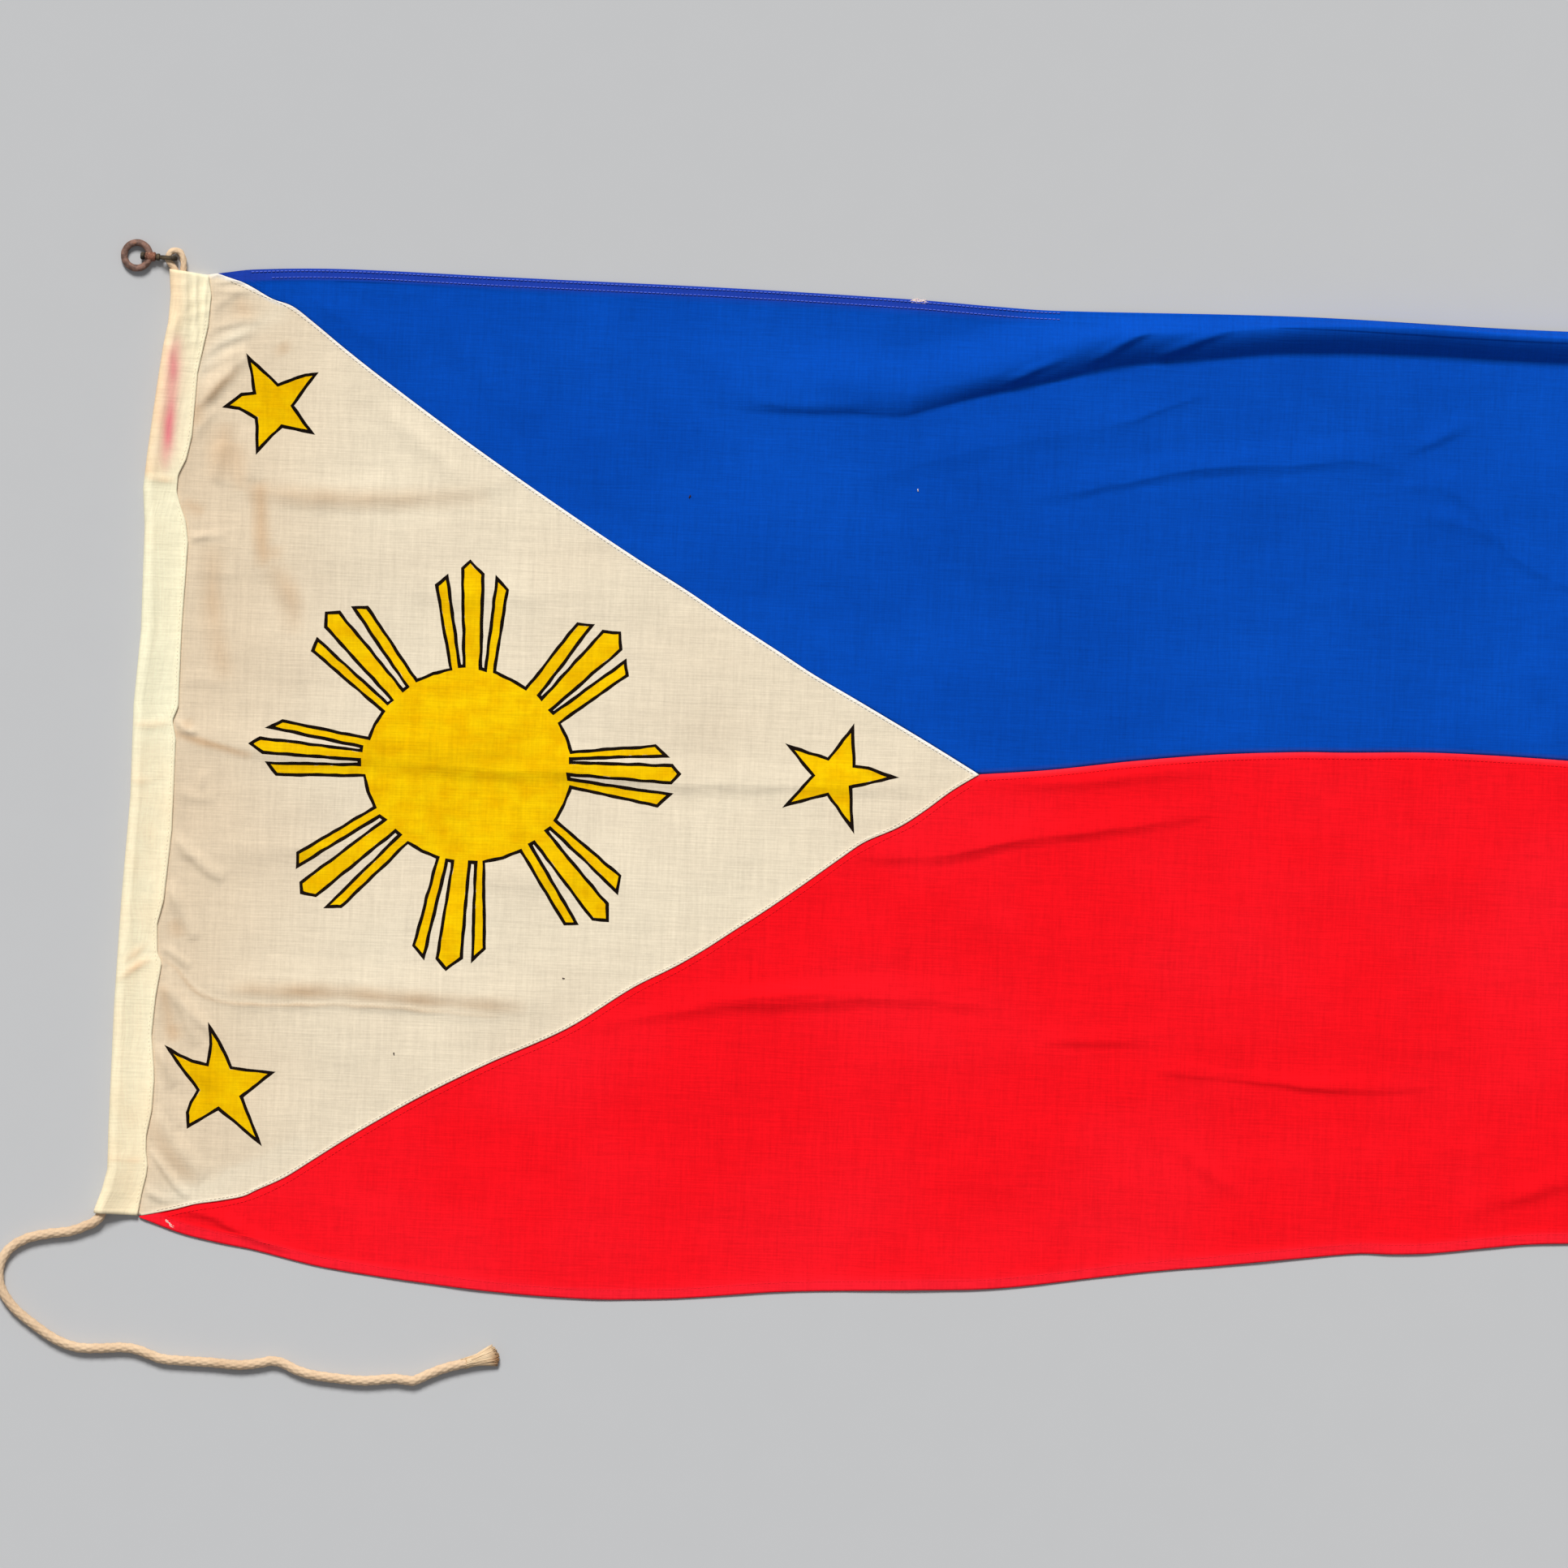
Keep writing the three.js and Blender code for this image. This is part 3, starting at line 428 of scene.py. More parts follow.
# Gathers that fan out from the heading's stitching.
GATHERS = (
    Ridge(((-0.63, 0.3485), (-0.619, 0.3505), (-0.604, 0.352)), 0.0016, 0.003, 0.005),
    Ridge(((-0.629, 0.3425), (-0.616, 0.344), (-0.598, 0.344)), 0.0014, 0.003, 0.006),
    Ridge(((-0.629, 0.329), (-0.62, 0.336), (-0.608, 0.3445)), 0.0014, 0.005, 0.008),
    Ridge(((-0.631, 0.312), (-0.62, 0.318), (-0.606, 0.322), (-0.59, 0.324)), 0.0014, 0.0045, 0.008),
    Ridge(((-0.633, 0.296), (-0.622, 0.304), (-0.608, 0.311), (-0.594, 0.316)), 0.0017, 0.005, 0.009),
    Ridge(((-0.643, 0.251), (-0.6372, 0.2577), (-0.6295, 0.2659), (-0.6219, 0.2736), (-0.6164, 0.2806),
           (-0.611, 0.288), (-0.604, 0.2935), (-0.596, 0.298)), 0.0042, 0.0085, 0.015),
    Ridge(((-0.634, 0.286), (-0.617, 0.295), (-0.6, 0.302)), 0.0012, 0.005, 0.008),
    Ridge(((-0.64, 0.236), (-0.63, 0.248), (-0.622, 0.258)), 0.002, 0.007, 0.01),
    Ridge(((-0.643, 0.164), (-0.628, 0.165), (-0.61, 0.166)), 0.001, 0.0035, 0.007),
    Ridge(((-0.641, 0.136), (-0.624, 0.14), (-0.6, 0.138)), 0.0006, 0.008, 0.012),
    Ridge(((-0.641, 0.101), (-0.622, 0.098), (-0.6, 0.099)), 0.0006, 0.009, 0.012),
    Ridge(((-0.6415, 0.06), (-0.624, 0.061), (-0.604, 0.058)), 0.0006, 0.008, 0.012),
    Ridge(((-0.645, 0.032), (-0.64, 0.027), (-0.628, 0.0225)), 0.003, 0.004, 0.006),
    Ridge(((-0.643, -0.02), (-0.632, -0.024), (-0.612, -0.027)), 0.0012, 0.007, 0.01),
    Ridge(((-0.644, -0.051), (-0.636, -0.059), (-0.622, -0.073), (-0.604, -0.084)), 0.003, 0.008, 0.011),
    Ridge(((-0.6465, -0.086), (-0.635, -0.106), (-0.6255, -0.128)), 0.0036, 0.009, 0.012),
    Ridge(((-0.649, -0.133), (-0.638, -0.139), (-0.628, -0.148)), 0.0022, 0.005, 0.007),
    Ridge(((-0.644, -0.149), (-0.6354, -0.167), (-0.6206, -0.185), (-0.606, -0.198)), 0.0026, 0.006, 0.009),
    Ridge(((-0.648, -0.16), (-0.636, -0.173), (-0.629, -0.185), (-0.62, -0.204)), 0.0034, 0.009, 0.009),
    Ridge(((-0.65, -0.205), (-0.643, -0.218), (-0.635, -0.234)), 0.0024, 0.008, 0.009),
    Ridge(((-0.65, -0.248), (-0.643, -0.262), (-0.629, -0.282), (-0.61, -0.299)), 0.0033, 0.013, 0.012, 1.1),
    Ridge(((-0.648, -0.23), (-0.64, -0.248), (-0.631, -0.264)), 0.0018, 0.005, 0.009),
    Ridge(((-0.652, -0.28), (-0.641, -0.2945), (-0.63, -0.3085), (-0.622, -0.315)), 0.0025, 0.0035, 0.007),
    Ridge(((-0.654, -0.308), (-0.646, -0.314), (-0.636, -0.319)), 0.0022, 0.004, 0.006),
)


@dataclass(frozen=True)
class PaintedShadeMark(Ridge):
    """A band of painted shade, darkest on its line: its height is how strong it is, and a negative one paints
    light instead.
    """

    pinch: float = 1.2


# Painted shade along the triangle's creases and gathers, and painted light where a mark's height is negative.
PAINTED_SHADE_AND_LIGHT = (
    PaintedShadeMark(((-0.5885, 0.208), (-0.5868, 0.18), (-0.5835, 0.144)), 0.75, 0.009, 0.01, 1.0),
    PaintedShadeMark(((-0.578, 0.148), (-0.564, 0.125), (-0.559, 0.096)), 0.42, 0.014, 0.014),
    PaintedShadeMark(((-0.616, 0.25), (-0.616, 0.206)), 0.5, 0.016, 0.016),
    PaintedShadeMark(((-0.612, 0.338), (-0.596, 0.322)), 0.35, 0.012, 0.012),
    PaintedShadeMark(((-0.644, 0.19), (-0.628, 0.183)), 0.5, 0.009, 0.009),
    PaintedShadeMark(((-0.636, 0.256), (-0.622, 0.271), (-0.611, 0.283), (-0.604, 0.29)), 0.5, 0.004, 0.007),
    PaintedShadeMark(((-0.6215, 0.162), (-0.62, 0.115), (-0.608, 0.06)), 0.42, 0.013, 0.013),
    PaintedShadeMark(((-0.646, 0.024), (-0.63, 0.0185), (-0.615, 0.0145), (-0.586, 0.0076)), 0.75, 0.0045, 0.0045),
    PaintedShadeMark(((-0.647, -0.16), (-0.642, -0.18), (-0.638, -0.202)), 0.5, 0.007, 0.007),
    PaintedShadeMark(((-0.6487, -0.1403), (-0.6357, -0.1486), (-0.6274, -0.1594), (-0.6176, -0.1669), (-0.6081, -0.1698),
          (-0.5984, -0.1722), (-0.5104, -0.1705), (-0.4, -0.1755)), 0.6, 0.0018, 0.0022, 1.0),
    PaintedShadeMark(((-0.652, -0.26), (-0.638, -0.282), (-0.614, -0.306)), 0.3, 0.009, 0.009, 1.1),
    PaintedShadeMark(((-0.636, 0.262), (-0.635, 0.246)), 0.45, 0.009, 0.01),
    PaintedShadeMark(((-0.606, 0.236), (-0.603, 0.2)), 0.45, 0.01, 0.012),
    PaintedShadeMark(((-0.578, 0.308), (-0.572, 0.3)), 0.35, 0.01, 0.01),
    PaintedShadeMark(((-0.575, 0.162), (-0.575, 0.15)), 0.35, 0.009, 0.009),
    PaintedShadeMark(((-0.637, 0.034), (-0.633, 0.026)), 0.35, 0.009, 0.009),
    PaintedShadeMark(((-0.64, -0.112), (-0.636, -0.126)), 0.5, 0.01, 0.01),
    PaintedShadeMark(((-0.638, -0.188), (-0.634, -0.2)), 0.4, 0.008, 0.009),
    PaintedShadeMark(((-0.6, -0.163), (-0.51, -0.163), (-0.457, -0.166), (-0.38, -0.17)), 0.8, 0.007, 0.012),
    PaintedShadeMark(((-0.52, 0.017), (-0.43, 0.013), (-0.36, 0.011)), 0.6, 0.013, 0.016),
    PaintedShadeMark(((-0.6, 0.2), (-0.52, 0.196), (-0.42, 0.203)), 0.6, 0.011, 0.014),
    PaintedShadeMark(((-0.624, -0.223), (-0.606, -0.236)), 0.7, 0.01, 0.01),
    PaintedShadeMark(((-0.656, -0.32), (-0.62, -0.313), (-0.58, -0.301), (-0.53, -0.276)), -0.58, 0.02, 0.02, 1.6),
    PaintedShadeMark(((-0.642, 0.274), (-0.626, 0.296), (-0.609, 0.312), (-0.57, 0.332)), -0.35, 0.012, 0.014, 1.6),
    PaintedShadeMark(((-0.635, 0.356), (-0.605, 0.352), (-0.57, 0.335)), -0.35, 0.012, 0.012, 1.6),
)


@dataclass(frozen=True)
class SteepFold:
    """The long fold under the top hem: a sharp foot, a steep side, a rounded crest and a soft back."""

    foot: EdgeLine = EdgeLine((
        (-0.624, 0.357), (-0.583, 0.352), (-0.506, 0.3345), (-0.393, 0.303), (-0.267, 0.2735),
        (-0.217, 0.2695), (-0.162, 0.2705), (-0.125, 0.27), (-0.103, 0.276), (-0.064, 0.2875),
        (-0.017, 0.2995), (0.034, 0.312), (0.094, 0.319), (0.172, 0.3262), (0.251, 0.3275),
        (0.35, 0.3255), (0.52, 0.328), (FLY_END, 0.333),
    ))
    height: EdgeLine = EdgeLine((
        (-0.624, 0.0), (-0.3, 0.0), (-0.25, 0.001), (-0.16, 0.0052), (-0.125, 0.0058),
        (-0.064, 0.0096), (-0.017, 0.011), (0.034, 0.014), (0.094, 0.0128), (0.172, 0.015),
        (0.251, 0.0162), (0.35, 0.015), (0.52, 0.009), (FLY_END, 0.004),
    ), smooth=False)
    steep: EdgeLine = EdgeLine((
        (-0.624, 0.01), (-0.25, 0.014), (-0.16, 0.022), (-0.125, 0.018), (-0.064, 0.0148),
        (-0.017, 0.0195), (0.034, 0.0205), (0.094, 0.0188), (0.172, 0.019), (0.251, 0.0195),
        (0.35, 0.0178), (FLY_END, 0.016),
    ), smooth=False)
    fullness: EdgeLine = EdgeLine((
        (-0.25, 0.75), (-0.125, 0.75), (-0.064, 1.4), (-0.017, 0.6), (0.034, 1.9), (0.172, 2.4),
        (0.251, 2.5), (0.35, 3.2), (FLY_END, 1.5),
    ), smooth=False)
    back: float = 0.038  # how far its soft back reaches
    least_room: float = 0.004
    lifted: float = 0.12  # share of its height left at the hem where there is no room behind it
    flutes: tuple[Ridge, ...] = (
        Ridge(((0.01, 0.3135), (0.0225, 0.32), (0.036, 0.329), (0.056, 0.339)), 0.0034, 0.004, 0.007),
        Ridge(((0.06, 0.319), (0.0761, 0.326), (0.092, 0.333), (0.114, 0.341)), 0.003, 0.004, 0.007),
        Ridge(((-0.05, 0.296), (-0.03, 0.306), (-0.008, 0.316)), 0.0022, 0.004, 0.007),
        Ridge(((-0.23, 0.276), (-0.19, 0.2735), (-0.15, 0.276)), 0.0016, 0.006, 0.012),
    )

    def heights(self, x: Array, y: Array) -> Array:
        """Height that the fold adds at each point."""
        height, steep = self.height.at(x), self.steep.at(x)
        crest = self.foot.at(x) + steep
        room = np.maximum(np.minimum(self.back, TOP_HEM.at(x) - crest), self.least_room)
        from_foot = y - self.foot.at(x)
        up, full = np.clip(from_foot / steep, 0, 1), self.fullness.at(x)
        rise = up * (1 + full - up**full) / full
        kept = self.lifted * (1 - room / self.back)
        fold = height * rise * (kept + (1 - kept) * soft_fall((from_foot - steep) / room))
        flutes = sum(flute.heights(x, y) for flute in self.flutes)
        return np.where(height > 0, fold, 0.0) + flutes


@dataclass(frozen=True)
class ClothLie:
    """How the whole flag lies: every panel reads its heights here, so neighbours meet."""

    thickness: float = 0.0007
    rest: float = 0.0012  # height of the cloth's face where it lies flat
    least: float = 0.0009  # least height of its face
    heading_lift: float = 0.0021  # its face inside the heading
    heading_ramp: float = 0.018  # how far past the heading it comes down
    gather_start: float = 0.006  # how far past the heading its gathers are full
    rolls: tuple[Point3, ...] = (  # cell along the fly, up the hoist, height
        (0.11, 0.075, 0.0017), (0.046, 0.034, 0.0006), (0.019, 0.013, 0.00016),
    )
    fold: SteepFold = SteepFold()
    ridges: tuple[Ridge, ...] = BLUE_CREASES + RED_CREASES + TRIANGLE_CREASES + GATHERS

    def heights(self, x: Array, y: Array) -> Array:
        """Height of the cloth's upper face.

        Args:
            x: Places along the fly.
            y: Places up the hoist.

        Returns:
            Heights above the surface that the flag lies on.
        """
        past_heading = x - HEADING_INNER.at(y)
        lift = (self.heading_lift - self.rest) * soft_fall(past_heading / self.heading_ramp)
        free = np.clip(past_heading / self.gather_start, 0, 1)
        rolls = sum(
            height * rolling_noise(x / cell_x + 7.3, y / cell_y + 3.1, seed)
            for seed, (cell_x, cell_y, height) in enumerate(self.rolls, start=5)
        )
        ridges = sum(ridge.heights(x, y) for ridge in self.ridges)
        height = self.rest + lift + free * (rolls + ridges) + self.fold.heights(x, y)
        return np.maximum(height, self.least)


# ---- meshes --------------------------------------------------------------------------------------


def add_object(name: str, bm: bmesh.types.BMesh) -> bpy.types.Object:
    """Turns a bmesh into a smooth-shaded object at the origin, and frees it."""
    mesh = bpy.data.meshes.new(name)
    bm.to_mesh(mesh)
    bm.free()
    mesh.shade_smooth()
    obj = bpy.data.objects.new(name, mesh)
    bpy.context.scene.collection.objects.link(obj)
    return obj


def laid_grid(name: str, cells: tuple[int, int], place: Placer, closed: bool = False) -> bpy.types.Object:
    """A grid of cells laid over a surface.

    Args:
        name: The new object's name.
        cells: How many cells there are across and along.
        place: Gives each grid point's place in the frame and on the flat cloth, from how far across
            and along the grid it is, from 0 to 1.
        closed: True for a tube, whose open ends are then filled.

    Returns:
        The new object, whose faces point outwards.
    """
    bm = bmesh.new()
    bmesh.ops.create_grid(bm, x_segments=cells[0], y_segments=cells[1], size=0.5)
    across, along = np.clip(np.array([vert.co[:2] for vert in bm.verts]).T + 0.5, 0, 1)
    places, flat = place(across, along)
    for vert, co in zip(bm.verts, places):
        vert.co = co
    layer = bm.loops.layers.uv.new(CLOTH_UV)
    bm.verts.index_update()
    for face in bm.faces:
        for loop in face.loops:
            loop[layer].uv = flat[loop.vert.index]
    bmesh.ops.remove_doubles(bm, verts=bm.verts, dist=WELD)
    if closed:
        bmesh.ops.delete(bm, geom=[edge for edge in bm.edges if edge.is_wire], context="EDGES")
        bmesh.ops.holes_fill(bm, edges=[edge for edge in bm.edges if edge.is_boundary])
        bmesh.ops.recalc_face_normals(bm, faces=bm.faces)
    return add_object(name, bm)


def mark_points(obj: bpy.types.Object, name: str, values: Array) -> None:
    """Stores one number for each point of a mesh, for its material to read."""
    attribute = obj.data.attributes.new(name, "FLOAT", "POINT")
    attribute.data.foreach_set("value", np.asarray(values, np.float32))


def point_places(obj: bpy.types.Object) -> Array:
    """Places of a mesh's points, one row each."""
    places = np.empty(len(obj.data.vertices) * 3)
    obj.data.vertices.foreach_get("co", places)
    return places.reshape(-1, 3)


def thicken(obj: bpy.types.Object, thickness: float) -> None:
    """Gives a sheet its thickness, on the side away from its face."""
    wall = obj.modifiers.new("thickness", "SOLIDIFY")
    wall.thickness = thickness
    wall.offset = -1


def add_piece(obj: bpy.types.Object, slot: Slot, *stands_for: str) -> bpy.types.Object:
    """Makes a finished object a piece of the flag.

    Args:
        obj: The object.
        slot: The material slot that its finish comes from; not used.
        stands_for: The solids that it takes the place of.

    Returns:
        The same object.
    """
    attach(obj, BODY)
    if stands_for:
        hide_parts(*stands_for)
    LOG.info("%s: %d faces", obj.name, len(obj.data.polygons))
    return obj


# ---- finishes ------------------------------------------------------------------------------------


def srgb(red: int, green: int, blue: int) -> Colour:
    """A colour for a shader, from its three screen values of 0 to 255."""
    parts = [value / 255 for value in (red, green, blue)]
    linear = [p / 12.92 if p <= 0.04045 else ((p + 0.055) / 1.055) ** 2.4 for p in parts]
    return (*linear, 1.0)


class Shader:
    """One material under construction: adds nodes, sets their sockets and links them."""

    def __init__(self, name: str) -> None:
        """Makes an empty material with a Principled surface."""
        self.material = bpy.data.materials.new(name)
        self.material.use_nodes = True
        self.tree = self.material.node_tree
        self.surface = self.tree.nodes["Principled BSDF"]

    def node(self, kind: str, inputs: dict | None = None, **settings: object) -> bpy.types.Node:
        """Adds a node.

        Args:
            kind: The node's type name.
            inputs: Values or source sockets for its inputs, by input name or number.
            settings: The node's own properties.

        Returns:
            The new node.
        """
        node = self.tree.nodes.new(kind)
        for key, value in settings.items():
            setattr(node, key, value)
        for key, value in (inputs or {}).items():
            self.feed(node.inputs[key], value)
        return node

    def feed(self, socket: bpy.types.NodeSocket, value: object) -> None:
        """Links a source socket to an input, or sets the input's own value."""
        if isinstance(value, bpy.types.NodeSocket):
            self.tree.links.new(value, socket)
        else:
            socket.default_value = value

    def math(self, operation: str, *values: object) -> bpy.types.NodeSocket:
        """Result of a Math node."""
        return self.node("ShaderNodeMath", dict(enumerate(values)), operation=operation).outputs[0]

    def cloth_place(self) -> bpy.types.NodeSocket:
        """Place on the flat cloth."""
        return self.node("ShaderNodeUVMap", uv_map=CLOTH_UV).outputs[0]

    def object_place(self) -> bpy.types.NodeSocket:
        """Place in the frame."""
        return self.node("ShaderNodeTexCoord").outputs["Object"]

    def noise(self, place: bpy.types.NodeSocket, per_metre: Point3, detail: float = 2.0,
              shift: float = 0.0) -> bpy.types.NodeSocket:
        """Noise whose grain has its own size along each direction.

        Args:
            place: Where to read it.
            per_metre: How many grains there are in a metre, along each direction.
            detail: How many finer layers it has.
            shift: Moves the pattern, so that two layers differ.

        Returns:
            Values around 0.5.
        """
        layout = {"Vector": place, "Scale": per_metre, "Location": (shift,) * 3}
        scaled = self.node("ShaderNodeMapping", layout).outputs[0]
        return self.node("ShaderNodeTexNoise", {"Vector": scaled, "Scale": 1.0, "Detail": detail}).outputs[0]

    def spread(self, value: bpy.types.NodeSocket, low: float, high: float, start: float = 0.0,
               end: float = 1.0) -> bpy.types.NodeSocket:
        """Maps low..high to start..end, clamped."""
        values = {"Value": value, "From Min": low, "From Max": high, "To Min": start, "To Max": end}
        return self.node("ShaderNodeMapRange", values).outputs[0]

    def blend(self, factor: object, first: object, second: object) -> bpy.types.NodeSocket:
        """Mixes two colours."""
        node = self.node("ShaderNodeMix", data_type="RGBA")
        self.feed(node.inputs["Factor"], factor)
        self.feed(node.inputs[6], first)
        self.feed(node.inputs[7], second)
        return node.outputs[2]

    def shade(self, colour: object,
              layers: Sequence[tuple[bpy.types.NodeSocket, float]]) -> bpy.types.NodeSocket:
        """Makes a colour lighter and darker by layers of noise, each with its strength."""
        value: object = 1.0 - sum(strength for _, strength in layers) / 2
        for layer, strength in layers:
            value = self.math("MULTIPLY_ADD", layer, strength, value)
        return self.node("ShaderNodeHueSaturation", {"Color": colour, "Value": value}).outputs[0]

    def paint(self, colour: object, roughness: object) -> None:
        """Gives the surface its colour and roughness."""
        self.feed(self.surface.inputs["Base Color"], colour)
        self.feed(self.surface.inputs["Roughness"], roughness)

    def bump(self, height: bpy.types.NodeSocket, depth: float, strength: float = 1.0) -> None:
        """Raises the surface by a height map."""
        node = self.node("ShaderNodeBump", {"Height": height, "Distance": depth, "Strength": strength})
        self.tree.links.new(node.outputs[0], self.surface.inputs["Normal"])

    def set_surface(self, **values: float) -> None:
        """Sets fixed values on the surface's own sockets; an underscore stands for a space."""
        for key, value in values.items():
            self.surface.inputs[key.replace("_", " ")].default_value = value


@dataclass(frozen=True)
class Finish:
    """A material by name; each kind covers the surface in its own way."""

    name: str

    def make(self) -> bpy.types.Material:
        """Builds the material."""
        shader = Shader(self.name)
        self.cover(shader)
        return shader.material

    def cover(self, shader: Shader) -> None:
        """Covers the surface."""
        raise NotImplementedError


@dataclass(frozen=True)
class ClothFinish(Finish):
    """Woven cotton: threads both ways, slubs, uneven dye and a matt face."""

    colour: Colour
    faded: Colour
    # hem tints turned edges, and on the white cotton it is a painted highlight along the seams
    hem: Colour | None = None
    # stain also carries painted shade and painted light on the triangle, and a painted highlight along the
    # red side of the mid seam
    stain_and_shading: Colour | None = None
    slubs: float = 0.34
    bundles: float = 0.12  # groups of thicker and thinner threads
    patches: float = 0.1
    pitch: float = 0.0009  # from one thread to the next but one
    fade_above: float = 0.5
    fade_grain: Point = (6.0, 8.0)  # worn patches in a metre, along the fly and up the hoist
    nap: float = 0.02
    gloss: float = 0.1

    def cover(self, shader: Shader) -> None:
        """Covers the surface with cloth."""
        place = shader.cloth_place()
        weft = shader.noise(place, (42.0, 760.0, 1.0))
        warp = shader.noise(place, (760.0, 46.0, 1.0), shift=4.7)
        wide_weft = shader.noise(place, (11.0, 230.0, 1.0), shift=6.1)
        wide_warp = shader.noise(place, (230.0, 13.0, 1.0), shift=7.9)
        fine = shader.noise(place, (420.0, 420.0, 1.0), shift=2.2)
        cloud = shader.noise(place, (17.0, 21.0, 1.0), detail=3.0, shift=9.1)
        worn = shader.noise(place, (*self.fade_grain, 1.0), detail=4.0, shift=1.3)
        fading = shader.spread(worn, self.fade_above - 0.12, self.fade_above + 0.22)
        colour = shader.blend(fading, self.colour, self.faded)
        # the marks mix in painted highlight along seams and painted shade along creases, besides hems, tan
        # tints and stains
        for name, tint in ((HEM_TAN_AND_SHADING_MARK, self.hem), (STAIN_AND_SHADING_MARK, self.stain_and_shading)):
            if tint is not None:
                mark = shader.node("ShaderNodeAttribute", attribute_name=name).outputs["Fac"]
                colour = shader.blend(mark, colour, tint)
        layers = [
            (weft, self.slubs), (warp, self.slubs), (wide_weft, self.bundles), (wide_warp, self.bundles),
            (fine, self.slubs * 0.7), (cloud, self.patches),
        ]
        shader.paint(shader.shade(colour, layers), shader.spread(fine, 0.2, 0.8, 0.86, 0.97))
        shader.bump(self.weave(shader, place, weft, warp), depth=0.00035, strength=0.55)
        shader.set_surface(Sheen_Weight=self.nap, Specular_IOR_Level=self.gloss)

    def weave(self, shader: Shader, place: bpy.types.NodeSocket, weft: bpy.types.NodeSocket,
              warp: bpy.types.NodeSocket) -> bpy.types.NodeSocket:
        """Height of the threads: a plain weave, with thick and thin stretches."""
        parts = shader.node("ShaderNodeSeparateXYZ", {"Vector": place}).outputs
        turn = 2 * math.pi / self.pitch
        across = shader.math("SINE", shader.math("MULTIPLY", parts[0], turn))
        up = shader.math("SINE", shader.math("MULTIPLY", parts[1], turn))
        crossing = shader.math("MULTIPLY_ADD", shader.math("MULTIPLY", across, up), 0.08, 0.5)
        slub = shader.math("ADD", weft, warp)
        return shader.math("MULTIPLY_ADD", slub, 0.9, crossing)


@dataclass(frozen=True)
class CordFinish(Finish):
    """Spun cotton yarn, soiled in patches, with browned cut ends."""

    colour: Colour
    soiled: Colour
    browned: Colour | None = None

    def cover(self, shader: Shader) -> None:
        """Covers the surface with yarn."""
        place = shader.object_place()
        fibre = shader.noise(place, (1100.0, 1100.0, 1100.0))
        speck = shader.noise(place, (420.0, 420.0, 420.0), shift=8.2)
        patch = shader.noise(place, (45.0, 45.0, 45.0), detail=3.0, shift=3.3)
        colour = shader.blend(shader.spread(patch, 0.44, 0.8), self.colour, self.soiled)
        if self.browned is not None:
            mark = shader.node("ShaderNodeAttribute", attribute_name=STAIN_AND_SHADING_MARK).outputs["Fac"]
            colour = shader.blend(mark, colour, self.browned)
        flecked = shader.shade(colour, [(fibre, 0.26), (speck, 0.26)])
        shader.paint(flecked, shader.spread(fibre, 0.2, 0.8, 0.82, 0.95))
        shader.bump(fibre, depth=0.0003, strength=0.6)
        shader.set_surface(Sheen_Weight=0.04, Specular_IOR_Level=0.15)


@dataclass(frozen=True)
class ThreadFinish(Finish):
    """Twisted sewing thread with a faint gloss."""

    colour: Colour

    def cover(self, shader: Shader) -> None:
        """Covers the surface with thread."""
        twist = shader.noise(shader.object_place(), (500.0, 500.0, 500.0))
        shader.paint(shader.shade(self.colour, [(twist, 0.5)]), shader.spread(twist, 0.2, 0.8, 0.55, 0.75))
        shader.bump(twist, depth=0.0002, strength=0.5)
        shader.set_surface(Specular_IOR_Level=0.12)


@dataclass(frozen=True)
class RustFinish(Finish):
    """Old iron: dark scale, brown rust and orange bloom, pitted all over."""

    scale: Colour
    rust: Colour
    bloom: Colour
    bloom_above: float = 0.58

    def cover(self, shader: Shader) -> None:
        """Covers the surface with rust."""
        place = shader.object_place()
        patch = shader.noise(place, (190.0, 190.0, 190.0), detail=4.0)
        pits = shader.noise(place, (900.0, 900.0, 900.0), detail=3.0, shift=5.5)
        colour = shader.blend(shader.spread(patch, 0.4, 0.58), self.scale, self.rust)
        bloom = shader.spread(pits, self.bloom_above, self.bloom_above + 0.14)
        colour = shader.blend(bloom, colour, self.bloom)
        shader.paint(shader.shade(colour, [(pits, 0.5)]), shader.spread(patch, 0.3, 0.7, 0.55, 0.88))
        shader.bump(shader.math("ADD", pits, patch), depth=0.0005, strength=0.7)
        shader.set_surface(Metallic=0.25)


@dataclass(frozen=True)
class FloorFinish(Finish):
    """A plain pale floor."""

    name: str = "pale_floor"
    colour: Colour = srgb(196, 197, 199)

    def cover(self, shader: Shader) -> None:
        """Covers the surface with a plain tone."""
        grain = shader.noise(shader.object_place(), (30.0, 30.0, 30.0), detail=3.0)
        shader.paint(shader.shade(self.colour, [(grain, 0.02)]), 0.85)
        shader.set_surface(Specular_IOR_Level=0.2)


# Its hem colour is a painted highlight along the triangle's seams; its stain colour is painted shade along
# creases and gathers and a darker tan beside the heading.
WHITE_COTTON = ClothFinish(
    "white_cotton", srgb(239, 225, 199), srgb(232, 216, 190), hem=srgb(255, 252, 245),
    stain_and_shading=srgb(212, 180, 144), slubs=0.2, bundles=0.13,
)
